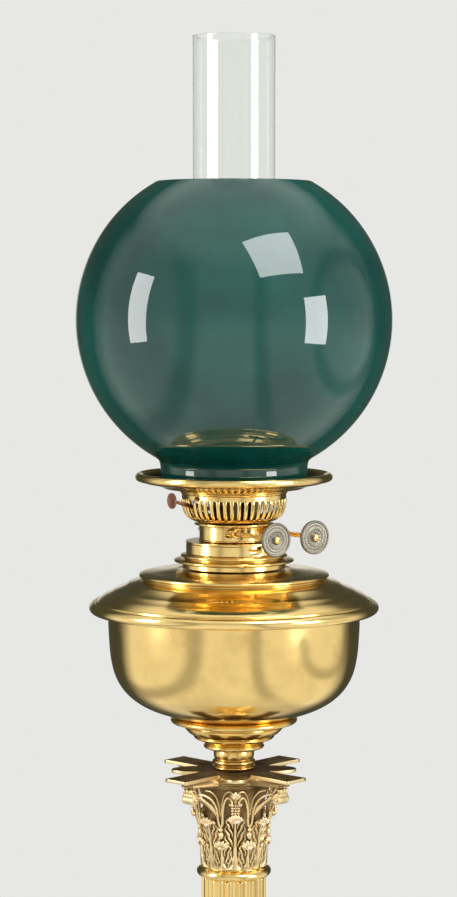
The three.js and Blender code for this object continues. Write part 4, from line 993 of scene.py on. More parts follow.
    def growth(self):
        """Stems that part above the lower leaves, their curls, the buds, the corner scrolls and fans."""
        up = self.bottom
        side = []
        for mirror in (1, -1):
            side += self.stem(mirror)
        side += self.bud()
        corner = self.scroll()
        parts = [copy for part in side for copy in turned_copies(part, 4)]
        parts += [copy for part in corner for copy in turned_copies(part, 4, math.pi / 4)]
        beads = [ball((0, -24.2 * MM, up + 26.6 * MM), (1.4 * MM,) * 3),
                 ball((0, -23.6 * MM, up + 22.7 * MM), (1.6 * MM, 1.5 * MM, 2.5 * MM))]
        pitch = 2 * math.pi / self.leaf_count
        parts += [copy for part in beads for copy in turned_copies(part, self.leaf_count, pitch / 2)]
        added("capital_growth", parts, "aged_brass", "base")

    def strand(self, rows, thick, squash=0.8):
        """A tapering strand through rows [degrees from the side's middle, out, up], in mm."""
        rows = np.array(rows, float)
        count = 6
        smooth = np.concatenate([curve_through(rows[:, [0, 1]], count),
                                 curve_through(rows[:, [0, 2]], count)[:, 1:]], 1)
        angle = smooth[:, 0] * DEGREE
        path = np.stack([smooth[:, 1] * np.sin(angle), -smooth[:, 1] * np.cos(angle), smooth[:, 2]], -1)
        path = path * MM + [0, 0, self.bottom]
        share = np.linspace(0, 1, len(path))
        width = np.interp(share, np.linspace(0, 1, len(thick)), thick) * MM
        return swept(path, width, 8, squash)

    def stem(self, mirror):
        """A stem 22.5 degrees from the side's middle: its inner arm curls in, its outer arm runs out."""
        m = mirror
        inner = [(22 * m, 24.0, 28.2), (19.3 * m, 24.6, 31.2), (17.5 * m, 26.0, 40.0),
                 (14.5 * m, 27.2, 45.5), (10.0 * m, 28.4, 48.3), (5.8 * m, 29.2, 47.2),
                 (4.4 * m, 29.4, 45.0), (6.2 * m, 29.4, 43.6), (8.2 * m, 29.2, 44.6)]
        outer = [(23 * m, 24.0, 28.2), (25.7 * m, 24.6, 31.2), (27.0 * m, 26.0, 39.0),
                 (30.0 * m, 28.2, 45.0), (35.0 * m, 32.5, 49.3), (40.0 * m, 37.5, 51.3)]
        second = [(22.5 * m, 23.6, 34.5), (21.0 * m, 24.2, 40.0), (18.0 * m, 25.8, 47.0),
                  (12.0 * m, 27.6, 51.6), (6.0 * m, 28.6, 52.0), (2.5 * m, 29.2, 49.0)]
        third = [(23.5 * m, 23.8, 35.5), (24.5 * m, 25.0, 42.0), (27.0 * m, 27.0, 48.0),
                 (31.0 * m, 30.5, 52.0), (35.0 * m, 34.0, 53.2)]
        made = [self.strand(inner, (0.95, 0.95, 0.85, 0.75, 0.6)),
                self.strand(outer, (0.95, 1.0, 1.1, 1.1)),
                self.strand(second, (0.6, 0.65, 0.6, 0.5)),
                self.strand(third, (0.6, 0.6, 0.6, 0.5))]
        for i in range(6):
            share = i / 5
            foot = (27.5 * m + 9 * m * share, 26.5 + 5 * share, 36.5 + 8.0 * share)
            middle = (29.5 * m + 8 * m * share, 29.5 + 6 * share, 41.5 + 6.5 * share)
            tip = (32.5 * m + 6.5 * m * share, 31.5 + 6.5 * share, 44.0 + 5.0 * share)
            made.append(self.strand([foot, middle, tip], (0.9, 0.8, 0.45)))
        return made

    def bud(self):
        """The flower under the boss: pointed petals round a short stalk."""
        made = [self.strand([(0, 24.5, 41.0), (0, 27.5, 45.0), (0, 29.6, 49.5)], (0.7, 0.8, 1.4))]
        for lean in (-1, -0.5, 0, 0.5, 1):
            made.append(self.strand([(0.6 * lean, 29.0, 47.5), (3.4 * lean, 30.6, 50.2 - abs(lean)),
                                     (6.2 * lean, 31.0, 53.0 - 2.4 * abs(lean))], (1.1, 1.35, 0.35)))
        for i in range(4):
            for j in range(3):
                made.append(ball(((j - 1) * 1.9 * MM, (-25.6 - 0.7 * i) * MM,
                                  self.bottom + (37.6 + 1.9 * i) * MM), (0.95 * MM, 0.8 * MM, 0.9 * MM),
                                 (5, 8)))
        return made

    def scroll(self):
        """A corner scroll: a band in a spiral, r = 3.3 mm - 2.3 mm x share of its turns, its eye, beads."""
        turns = 1.7
        share = np.linspace(0, 1, 64)
        angle = 0.9 + share * turns * 2 * math.pi
        radius = (3.3 - 2.3 * share) * MM
        centre_out, centre_up = 41.0 * MM, self.top - 7.4 * MM
        out = centre_out + radius * np.cos(angle)
        up = centre_up + radius * np.sin(angle)
        stalk_out = np.linspace(19.0 * MM, out[0] - 0.5 * MM, 14)[:-1]
        lift = (stalk_out - stalk_out[0]) / (out[0] - stalk_out[0])
        stalk_up = up[0] - 14 * MM * (1 - lift) ** 1.6
        out = np.concatenate([stalk_out, out])
        up = np.concatenate([stalk_up, up])
        half = np.concatenate([np.linspace(1.3, 4.2, 13), np.linspace(4.3, 5.7, 64)]) * MM
        thick = np.concatenate([np.full(13, 1.2), np.linspace(1.1, 0.8, 64)]) * MM
        path = np.stack([0 * out, -out, up], -1)
        along = np.gradient(path, axis=0)
        along /= np.linalg.norm(along, axis=1)[:, None]
        normal = np.cross(along, [1.0, 0, 0])
        turn = around(20)
        wide = np.sign(np.cos(turn)) * np.abs(np.cos(turn)) ** 0.45
        deep = np.sign(np.sin(turn)) * np.abs(np.sin(turn)) ** 0.6
        grid = (path[:, None] + half[:, None, None] * wide[None, :, None] * np.array([1.0, 0, 0])
                + thick[:, None, None] * (deep - 0.45 * (1 - wide ** 2) * np.sign(deep) * 0.5)[None, :, None]
                * normal[:, None])
        made = [capped_part(grid)]
        made.append(along_x_disc((0, -centre_out, centre_up), 1.25 * MM, 6.3 * MM))
        for drop, reach, size in ((1.6, 41.6, 2.1), (3.4, 41.2, 1.9)):
            made.append(ball((0, -reach * MM, self.top - drop * MM), (3.6 * MM, size * MM, 1.4 * MM)))
        for x in (-2.6, 0, 2.6):
            made.append(ball((x * MM, -43.4 * MM, self.top - 2.0 * MM), (1.2 * MM, 1.1 * MM, 1.9 * MM)))
        return made

    def abacus(self):
        """A plate with hollow sides, bosses and cut horns, over a moulding that blends to a plainer one."""
        _, bottom, top = span("abacus")
        plate = self.abacus_outline(22.5, 40.5, 54.3, 18.0)
        under = self.abacus_outline(24.3, 26.0, 43.6, 9.0)
        rows = [(0.01, 0), (0.03, 0.02), (0.05, 0.05), (0.05, 0.15), (0.03, 0.18), (0.01, 0.20), (0.02, 0.30),
                (0.07, 0.40), (0.17, 0.49), (0.33, 0.56), (0.55, 0.605), (0.80, 0.635), (0.93, 0.65),
                (0.97, 0.655), (0.985, 0.67), (1, 0.70), (1, 0.955), (0.99, 0.985), (0.975, 1)]
        rings = [np.column_stack([under * (1 - share) + plate * share,
                                  np.full(len(plate), bottom + up * (top - bottom))]) for share, up in rows]
        rings += [np.column_stack([plate * share, np.full(len(plate), top)]) for share in (0.9, 0.6)]
        angle = np.arctan2(plate[:, 1], plate[:, 0])
        rings += [on_ring(rod_bore(), angle, height) for height in (top, bottom)]

        def wear_and_painted_light(points):
            """The plate's edge is lightened, partly rubbed wear and partly a painted highlight; the moulding
            is dull; the top is darkened nearly black with painted shade.
            """
            share = (points[:, 2] - bottom) / (top - bottom)
            return np.interp(share, [0.5, 0.68, 0.99, 1], [0.13, -0.35, -0.35, 0.6])

        make("abacus", [looped_part(rings)], "aged_brass", "base", marks=wear_and_painted_light)

    def abacus_outline(self, waist, boss, reach, horn):
        """Each side: a boss (half an ellipse), a slightly hollow run out, and half a cut horn."""
        boss_half = 10.0
        share = np.sin(np.linspace(0, math.pi / 2, 17))
        y = boss_half * share
        x = waist + (boss - waist) * np.sqrt(1 - share ** 2)
        corner, half = reach / math.sqrt(2), horn / 2 / math.sqrt(2)
        to_x, to_y = corner + half, corner - half
        run = np.linspace(0, 1, 20)[1:]
        more_x = waist + (to_x - waist) * run ** 1.1
        more_y = boss_half + (to_y - boss_half) * run
        cut = np.linspace(0, 1, 9)[1:-1, None]
        across = np.array([[to_x, to_y]]) * (1 - cut) + np.array([[to_y, to_x]]) * cut
        eighth = np.column_stack([np.concatenate([x, more_x]), np.concatenate([y, more_y])])
        quarter = np.concatenate([eighth, across, eighth[:0:-1, ::-1]]) * MM
        turns = []
        for turn in range(4):
            c, s = math.cos(turn * math.pi / 2), math.sin(turn * math.pi / 2)
            turns.append(quarter @ np.array([[c, s], [-s, c]]))
        return np.concatenate(turns)


def along_x_disc(centre, radius, half):
    """A round-edged disc whose axis is X: a ring of the radius between two domed faces."""
    rows = bulged([(0, -half), (radius * 0.8, -half * 0.97, 0.3), (radius, -half * 0.85),
                   (radius, half * 0.85, 0.3), (radius * 0.8, half * 0.97), (0, half)], steps=4)[1:-1]
    angle = around(16)
    grid = np.stack([rows[:, 1:2] + 0 * angle, rows[:, :1] * np.cos(angle), rows[:, :1] * np.sin(angle)], -1)
    return capped_part(grid + np.array(centre))


class BRASSLAMP_OT_font(bpy.types.Operator):
    """Builds the oil font: the ringed knop, the spreading foot, the bowl and the stepped top."""

    bl_idname = "brasslamp.font"
    bl_label = "Oil font"

    def execute(self, context):
        sizes = context.scene.brass_lamp_sizes
        knop = [(0.97, 0), (0.985, 0.03), (1, 0.09, -0.5), (0.965, 0.17), (0.9, 0.19), (0.89, 0.225),
                (0.93, 0.25, -0.7), (0.93, 0.50), (0.9, 0.525), (0.895, 0.55), (0.925, 0.57, -0.12),
                (0.93, 0.99), (0.92, 1)]
        turned("stem_knop", knop, "warm_brass")
        self.foot(sizes)
        self.bowl(sizes)
        self.top(sizes)
        return {"FINISHED"}

    def foot(self, sizes):
        """A hollow neck, a ledge, an S curve and the ring that carries the bowl, over a blind bore."""
        rows = [(0.405, 0), (0.42, 0.012), (0.455, 0.035, -0.75), (0.46, 0.15), (0.45, 0.165, 0.16),
                (0.60, 0.315), (0.625, 0.345, -0.6), (0.628, 0.40), (0.625, 0.412, -0.16), (0.775, 0.64),
                (0.782, 0.69, -0.2), (0.765, 0.715), (0.762, 0.76), (0.80, 0.775), (0.93, 0.80),
                (0.965, 0.815, -0.85), (0.965, 0.975), (0.94, 1), (0.80, 1)]
        line = outline(rows, "font_foot")
        socket = span("tie_rod")[2] + PLAY
        inner = np.array([[AXIS, line[-1, 1]], [AXIS, socket], [rod_bore(), socket],
                          [rod_bore(), line[0, 1]]])
        make("font_foot", [lathe(np.concatenate([line, inner]), sizes.arris)], "warm_brass", "base")

    def bowl(self, sizes):
        """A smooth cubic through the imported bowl's shares, and the same line a wall further in."""
        rows = [(0.47, 0.0), (0.59, 0.046), (0.70, 0.098), (0.80, 0.172), (0.885, 0.275), (0.945, 0.41),
                (0.978, 0.58), (0.993, 0.79), (1.0, 1.0)]
        line = in_place(curve_through(rows, 8), "font_bowl")
        both = shell(line, sizes.sheet)
        profile = np.concatenate([[[AXIS, line[0, 1]]], both, [[AXIS, both[-1, 1]]]])
        make("font_bowl", [lathe(profile, 0.25 * MM, 192)], "polished_brass", "base")

    def top(self, sizes):
        """Rolled rim, small bead, long shoulder, and the overhanging disc, spun from one sheet."""
        radius, bottom, top = span("font_top")
        roll = 3.5 * MM
        centre = radius - roll
        turn = np.linspace(-100, 165, 24) * DEGREE
        rim = np.stack([centre + roll * np.cos(turn), bottom + roll + roll * np.sin(turn)], -1)
        rim = rim[rim[:, 1] > bottom - 1]
        rise = (top - bottom) / 28.8
        rest = [(89.6, 6.4), (89.3, 7.2, -0.9), (88.3, 8.0), (87.6, 8.9, -0.06), (82.7, 12.2, 0.05),
                (77.5, 14.9, 0.07), (67.9, 19.4), (65.6, 20.1), (62.0, 21.0), (59.6, 21.9), (59.8, 22.9),
                (61.3, 23.7, -0.55), (60.4, 25.3), (57.2, 26.1, 0.02), (37.5, 28.3), (28.02, 28.8)]
        rest = [(across * MM, bottom + up * rise, *bend) for across, up, *bend in rest]
        line = np.concatenate([rim[:20], bulged(rest, steps=6)])
        wall = shell(eased(line, 0.4 * MM, closed=False), sizes.sheet)
        make("font_top", [looped_part(revolved(wall, 192))], "polished_brass", "base")


class BRASSLAMP_OT_collar(bpy.types.Operator):
    """Builds the mount on the font, the bayonet collar with its notches, and the burner's flange."""

    bl_idname = "brasslamp.collar"
    bl_label = "Collar and flange"

    def execute(self, context):
        mount = [(0.835, 0), (0.835, 0.33), (0.86, 0.35), (0.94, 0.40), (0.955, 0.42, -0.75), (0.955, 0.575),
                 (0.94, 0.60), (0.86, 0.64), (0.80, 0.66, 0.3), (0.80, 0.74), (0.835, 0.765),
                 (0.85, 0.78, -0.75), (0.85, 0.92), (0.83, 0.945), (0.79, 0.96), (0.785, 1)]
        turned("collar_base", mount, "polished_brass", bore=28 * MM)
        self.collar()
        self.flange()
        return {"FINISHED"}

    def collar(self):
        """The band: a lip over a groove, cut by two notches half a turn apart."""
        radius, bottom, top = span("font_collar")
        line = np.array([[radius - 1 * MM, bottom], [radius, bottom], [radius, top],
                         [radius - 3 * MM, top], [radius - 3 * MM, bottom + 2.8 * MM],
                         [radius - 1 * MM, bottom + 2.8 * MM]])
        band = lathe(line, 0.22 * MM, 144)
        cutters = []
        for turn in (0, math.pi):
            angle = (25 - 90) * DEGREE + turn
            window = boxed((radius - 4.5 * MM, -4.5 * MM, top - 2.2 * MM),
                           (radius + 2 * MM, 4.5 * MM, top + 2 * MM))
            inner = boxed((radius - 5 * MM, -4.0 * MM, bottom + 1.2 * MM),
                          (radius - 1.1 * MM, 4.0 * MM, top + 2 * MM))
            cutters += [turn_z(window, angle), turn_z(inner, angle)]
        make("font_collar", [carved(band, *cutters)], "polished_brass", "base")

    def flange(self):
        """The burner's thin plate and the skirt inside the collar, with its two lugs."""
        radius, bottom, top = span("bayonet_flange")
        plate = top - 1.1 * MM
        skirt = 27.4 * MM
        line = np.array([[19 * MM, plate], [skirt - 1.2 * MM, plate], [skirt - 1.2 * MM, bottom],
                         [skirt, bottom], [skirt, plate], [radius, plate], [radius, top], [19 * MM, top]])
        part = lathe(line, 0.2 * MM, 128)
        lugs = []
        for turn in (0, math.pi):
            lug = boxed((skirt - 0.5 * MM, -3.4 * MM, bottom + 0.1 * MM),
                        (29.7 * MM, 3.4 * MM, bottom + 2 * MM))
            lugs.append(turn_z(lug, (50 - 90) * DEGREE + turn))
        make("bayonet_flange", [part, *lugs], "polished_brass", "burner")


def boxed(low, high):
    """A block between two corners."""
    x, y, z = np.array([low, high]).T
    ring = np.array([[x[0], y[0]], [x[1], y[0]], [x[1], y[1]], [x[0], y[1]]])
    return capped_part(np.array([np.column_stack([ring, np.full(4, height)]) for height in z]))


def rod_along_y(rows, x, z, fillet=0.12 * MM, sides=48):
    """A turned rod along Y from [radius, distance] rows, closed at both ends."""
    line = eased(bulged(rows), fillet, closed=False)
    return capped_part(along_y(line[line[:, 0] > 1e-6], x, z, sides))


def tube_along_y(rows, x, z, fillet=0.12 * MM, sides=48):
    """A turned ring or tube along Y from a closed outline of [radius, distance] rows."""
    line = eased(bulged(rows, closed=True), fillet)
    return looped_part(along_y(line, x, z, sides))


def oblong_sleeve(half_length, half_thickness, wall, x, low, high):
    """A slot-shaped tube: its outer ring up and its inner ring back down, its rims rounded."""
    line = eased(np.array([(0, low), (0, high), (wall, high), (wall, low)], float), 0.12 * MM)
    rows = [np.column_stack([oblong_ring(half_length - inset, half_thickness - inset, x),
                             np.full(22, height)]) for inset, height in line]
    return looped_part(rows)


def oblong_block(half_length, half_thickness, x, low, high):
    """A solid of the slot shape between two heights."""
    ring = oblong_ring(half_length, half_thickness, x)
    return capped_part(np.array([np.column_stack([ring, np.full(len(ring), height)])
                                 for height in (low, high)]))


class BRASSLAMP_OT_drum(bpy.types.Operator):
    """Builds the burner's drum, the slotted floor over it and the basket with its upright slots."""

    bl_idname = "brasslamp.drum"
    bl_label = "Drum and basket"

    def execute(self, context):
        self.spindle_x = 14.6 * MM
        self.spindle_z = burner_middle("winder_spindle_left")[2]
        self.neck()
        self.floor()
        self.basket(context.scene.brass_lamp_sizes)
        return {"FINISHED"}

    def neck(self):
        """A tube with a bead at the foot and two pairs of holes for the spindles."""
        radius, bottom, top = span("burner_neck")
        wall = 1.2 * MM
        rows = [(radius - 0.25 * MM, bottom), (radius, bottom + 0.15 * MM, -0.7), (radius, bottom + 0.9 * MM),
                (radius - 0.35 * MM, bottom + 1.15 * MM), (radius - 0.35 * MM, top - 0.9 * MM),
                (radius - 0.2 * MM, top - 0.6 * MM), (radius - 0.2 * MM, top),
                (radius - wall, top), (radius - wall, bottom)]
        drum = lathe(bulged(rows, steps=5), 0.12 * MM, 144)
        reach = radius + 3 * MM
        holes = [rod_along_y([(SPINDLE_BORE, -reach), (SPINDLE_BORE, reach)], x, self.spindle_z, sides=24)
                 for x in (-self.spindle_x, self.spindle_x)]
        on_burner("burner_neck", "polished_brass", "burner", carved(drum, *holes))

    def floor(self):
        """The ring moulding round a plate, cut by the two tube slots and the four wheel pockets."""
        radius, bottom, top = span("basket_floor")
        rows = [(AXIS, bottom), (radius * 0.9, bottom), (radius * 0.925, bottom + 0.1 * MM),
                (radius * 0.965, bottom + 0.2 * MM, -0.85), (radius * 0.965, top - 0.45 * MM),
                (radius * 0.92, top - 0.3 * MM), (radius * 0.90, top), (AXIS, top)]
        plate = lathe(bulged(rows, steps=6), 0.12 * MM, 144)
        over = 3 * MM
        cutters = [oblong_block(14.3 * MM, 2.9 * MM, x, bottom - over, top + over) for x in TUBES_X]
        across, along = 4.9 * MM, 1.8 * MM
        for x in (-self.spindle_x, self.spindle_x):
            for y in WHEELS_Y:
                cutters.append(boxed((x - across, y - along, bottom - over),
                                     (x + across, y + along, self.spindle_z + across)))
        on_burner("basket_floor", "polished_brass", "burner", carved(plate, *cutters))

    def basket(self, sizes):
        """Rings of columns: each bar bows out by 0.42 mm x (1 - s squared), with open cells between."""
        radius, bottom, top = span("basket")
        high = top - bottom
        rows = curve_through([(0.715, 0.0), (0.80, 0.045), (0.865, 0.12), (0.918, 0.23), (0.955, 0.37),
                              (0.98, 0.54), (0.995, 0.72), (1.0, 0.86), (1.0, 1.0)], 4)
        low_slot, high_slot = 0.14, 0.83
        extra = np.array([low_slot, low_slot + 0.03, high_slot - 0.03, high_slot])
        share = np.sort(np.concatenate([rows[:, 1], extra]))
        out = np.interp(share, rows[:, 1], rows[:, 0]) * radius
        bar = 0.54
        cells = 6
        start = np.concatenate([np.linspace(-bar / 2, bar / 2, cells + 1), [0.5]])
        column = (np.arange(sizes.slots)[:, None] + start[None, :]).ravel()
        angle = column * 2 * math.pi / sizes.slots
        s = np.clip(np.tile(start, sizes.slots) / (bar / 2), -1, 1)
        bow = 0.42 * MM * (1 - s ** 2) - 0.1 * MM
        in_slots = np.clip(np.minimum(share - low_slot, high_slot - share) / 0.06, 0, 1)[:, None]
        front = out[:, None] + bow[None, :] * in_slots
        back = np.broadcast_to(out[:, None] - 1.1 * MM, front.shape)
        height = (bottom + share * high)[:, None]
        grids = [on_ring(r, angle, height) for r in (front, back)]
        middle = (share[1:] + share[:-1]) / 2
        rows_open = (middle > low_slot) & (middle < high_slot)
        within = np.arange(len(column)) % (cells + 2) >= cells
        number = np.arange(len(column)) // (cells + 2)
        lever = number == sizes.slots // 2
        cells_open = rows_open[:, None] & (within | lever)[None, :]
        on_burner("basket", "polished_brass", "burner", pierced(*grids, cells_open))


class BRASSLAMP_OT_winders(bpy.types.Operator):
    """Builds the two wick winders: spindle, toothed wheels, bearing, knob and its screw."""

    bl_idname = "brasslamp.winders"
    bl_label = "Wick winders"

    def execute(self, context):
        sizes = context.scene.brass_lamp_sizes
        for word in ("left", "right"):
            body = "winder_" + word
            low, high = burner_box("winder_spindle_" + word)
            x, _, z = (low + high) / 2
            self.spindle(word, body, low[1], high[1], x, z)
            self.wheels(word, body, x, z)
            self.bush(word, x, z)
            self.knob(word, body, x, z, sizes.knob_beads)
        return {"FINISHED"}

    def spindle(self, word, body, front, back, x, z):
        """A rod with a chamfer at its back end and a fine groove 6 mm from its front end."""
        r = 1.5 * MM
        rows = [(r * 0.8, front), (r, front + 0.3 * MM), (r, front + 6 * MM), (r * 0.86, front + 6.2 * MM),
                (r * 0.86, front + 6.7 * MM), (r, front + 6.9 * MM), (r, back - 0.5 * MM), (r * 0.7, back)]
        on_burner("winder_spindle_" + word, "warm_brass", body, rod_along_y(rows, x, z, 0.08 * MM, 32))

    def wheels(self, word, body, x, z):
        """Toothed wheels: r = middle + half the tooth x a squared-off cosine of ten times the angle."""
        teeth = 10
        angle = around(16 * teeth)
        tooth = np.clip(1.6 * np.cos(teeth * angle), -1, 1)
        outer = (4.1 + 0.5 * tooth) * MM
        parts = []
        for y in WHEELS_Y:
            rings = [(outer - 0.25 * MM, y - 1.5 * MM), (outer, y - 1.25 * MM), (outer, y + 1.25 * MM),
                     (outer - 0.25 * MM, y + 1.5 * MM), (0 * outer + SPINDLE_BORE, y + 1.5 * MM),
                     (0 * outer + SPINDLE_BORE, y - 1.5 * MM)]
            parts.append(looped_part([np.stack([x + r * np.cos(angle), distance + 0 * angle,
                                                z + r * np.sin(angle)], -1) for r, distance in rings]))
        parts.append(tube_along_y(box_line(SPINDLE_BORE, 2.5 * MM, -2.5 * MM, 2.5 * MM), x, z))
        on_burner("wick_wheels_" + word, "warm_brass", body, *parts)

    def bush(self, word, x, z):
        """The bearing tube, its inner end cut to the round of the drum, with a bead at its outer end."""
        front = burner_box("winder_bush_" + word)[0][1]
        rows = [(SPINDLE_BORE, front), (2.6 * MM, front), (2.9 * MM, front + 0.1 * MM, -0.7),
                (2.9 * MM, front + 1.2 * MM), (2.55 * MM, front + 1.4 * MM), (2.55 * MM, -16 * MM),
                (SPINDLE_BORE, -16 * MM)]
        tube = tube_along_y(rows, x, z, 0.08 * MM, 40)
        drum = lathe(box_line(AXIS, 23 * MM, z - 9 * MM, z + 9 * MM), 0.1 * MM, 144)
        on_burner("winder_bush_" + word, "warm_brass", "burner", carved(tube, drum))

    def knob(self, word, body, x, z, beads):
        """A milled disc with a raised rim, two rings of beads, a hollow between them, and its screw."""
        low, high = burner_box("winder_knob_" + word)
        face, back = low[1], high[1]
        rows = [(1.8, back), (9.9, back), (10.45, back - 0.35 * MM), (10.6, back - 0.7 * MM)]
        rows += [(r, face + deep * MM) for r, deep in (
            (10.6, 0.6), (10.35, 0.15), (9.9, 0), (9.45, 0.05), (9.2, 0.5), (9.0, 0.62), (6.1, 0.62),
            (5.9, 0.4), (5.5, 0.33), (5.1, 0.4), (4.9, 0.7), (3.3, 0.85), (3.0, 0.7), (2.6, 0.2), (2.3, 0),
            (1.8, 0))]
        line = eased(np.array([(r * MM, y) for r, y in rows]), 0.12 * MM)
        ridges = 60
        grid = along_y(line, x, z, 4 * ridges)
        angle = around(4 * ridges)
        edge = (line[:, 0] > 10.3 * MM)[:, None]
        mill = 1 + 0.006 * np.cos(ridges * angle)[None, :] * edge
        scale = np.stack([mill, np.ones_like(mill), mill], -1)
        grid = np.array([x, 0, z]) + (grid - np.array([x, 0, z])) * scale
        parts = [looped_part(grid)]
        for count, out, deep, wide, tall in ((beads, 7.6, 0.55, 0.62, 0.42), (12, 4.1, 0.75, 0.5, 0.32)):
            for turn in around(count):
                place = (x + out * MM * math.cos(turn), face + deep * MM, z + out * MM * math.sin(turn))
                parts.append(ball(place, (wide * MM, tall * MM, wide * MM), (5, 8)))
        on_burner("winder_knob_" + word, "knob_metal", body, *parts)
        low, high = burner_box("knob_screw_" + word)
        head = [(2.3 * MM, high[1]), (2.3 * MM, high[1] - 0.5 * MM, 0.35), (1.2 * MM, low[1] + 0.1 * MM, 0.1),
                (AXIS, low[1])]
        screw = rod_along_y(head, x, z, 0.06 * MM, 32)
        slot = boxed((x - 3 * MM, low[1] - 1 * MM, z - 0.25 * MM),
                     (x + 3 * MM, low[1] + 0.45 * MM, z + 0.25 * MM))
        on_burner("knob_screw_" + word, "warm_brass", body, carved(screw, slot))


class BRASSLAMP_OT_wicks(bpy.types.Operator):
    """Builds the two flat wicks, their tubes and the snuffer that slides on them."""

    bl_idname = "brasslamp.wicks"
    bl_label = "Wicks and snuffer"

    def execute(self, context):
        for side, word in ((-1, "left"), (1, "right")):
            self.tube(side, word)
            self.wick(word)
        self.snuffer()
        return {"FINISHED"}

    def tube(self, side, word):
        """A slot-shaped tube with two windows for the wheels and rounded rims."""
        low, high = burner_box("wick_tube_" + word)
        x, z0, z1 = (low[0] + high[0]) / 2, low[2], high[2]
        sleeve = oblong_sleeve(14 * MM, 2.6 * MM, 0.7 * MM, x, z0, z1)
        height = burner_middle("winder_spindle_" + word)[2]
        near, far = sorted((x + side * 1.2 * MM, x + side * 5.6 * MM))
        windows = [boxed((near, y - 2 * MM, height - 4 * MM), (far, y + 2 * MM, height + 4 * MM))
                   for y in WHEELS_Y]
        # The tube takes the dark brass: partly soot, partly painted shade inside the basket
        on_burner("wick_tube_" + word, "polished_brass", "burner", carved(sleeve, *windows),
                  look="sooty_and_shaded_brass")

    def wick(self, word):
        """Flat cotton: a slot shape whose surface has ribs, 0.08 mm x the cosine across the threads."""
        low, high = burner_box("wick_" + word)
        x, z0, z1 = (low[0] + high[0]) / 2, low[2], high[2]
        half = 1.6 * MM
        height = np.linspace(z0, z1, 200)
        ring = oblong_ring(12.9 * MM, half, 0, 12)
        straight = np.linspace(0.94, -0.94, 41)[1:-1, None] * np.array([[0, 11.3 * MM]])
        ring = np.concatenate([ring[:13], straight + [-half, 0], ring[13:], straight[::-1] + [half, 0]])
        rib = 0.08 * MM * np.cos(2 * math.pi * ring[:, 1] / (0.9 * MM))
        row = 0.03 * np.cos(2 * math.pi * height / (1.1 * MM))
        inset = (1 - rib / half)[None, :] - 0.06 - row[:, None]
        grid = np.stack([x + ring[None, :, 0] * inset, ring[None, :, 1] * (0 * inset + 0.995),
                         height[:, None] + 0 * inset], -1)
        on_burner("wick_" + word, "wick", "wick_" + word, capped_part(grid))

    def snuffer(self):
        """Two slot-shaped sleeves, the web that joins them and the lug over the lever's tip."""
        low, high = burner_box("snuffer")
        z0, z1 = low[2], high[2]
        sleeves = [oblong_sleeve(14.9 * MM, 3.5 * MM, 0.6 * MM, x, z0, z1) for x in TUBES_X]
        web = boxed((-4.8 * MM, -5 * MM, z0), (4.8 * MM, 5 * MM, z0 + 1 * MM))
        lug = boxed((-15 * MM, -3 * MM, z0), (-11.2 * MM, 3 * MM, z0 + 1 * MM))
        # The snuffer takes the dark brass: partly soot, partly painted shade inside the basket
        on_burner("snuffer", "polished_brass", "snuffer", *sleeves, web, lug, look="sooty_and_shaded_brass")


def side_plate(rows, thickness, fillet=0.3 * MM):
    """A flat plate from an outline of [x, z] rows, its faces half a thickness from y = 0."""
    line = eased(bulged(rows, closed=True), fillet)
    middle = line.mean(0)
    edge = 0.2 * MM
    half = thickness / 2
    away = line - middle
    inset = line - away / np.linalg.norm(away, axis=1)[:, None] * edge
    rings = [(inset, -half), (line, -half + edge), (line, half - edge), (inset, half)]
    return capped_part(np.array([np.column_stack([ring[:, 0], np.full(len(ring), y), ring[:, 1]])
                                 for ring, y in rings]))


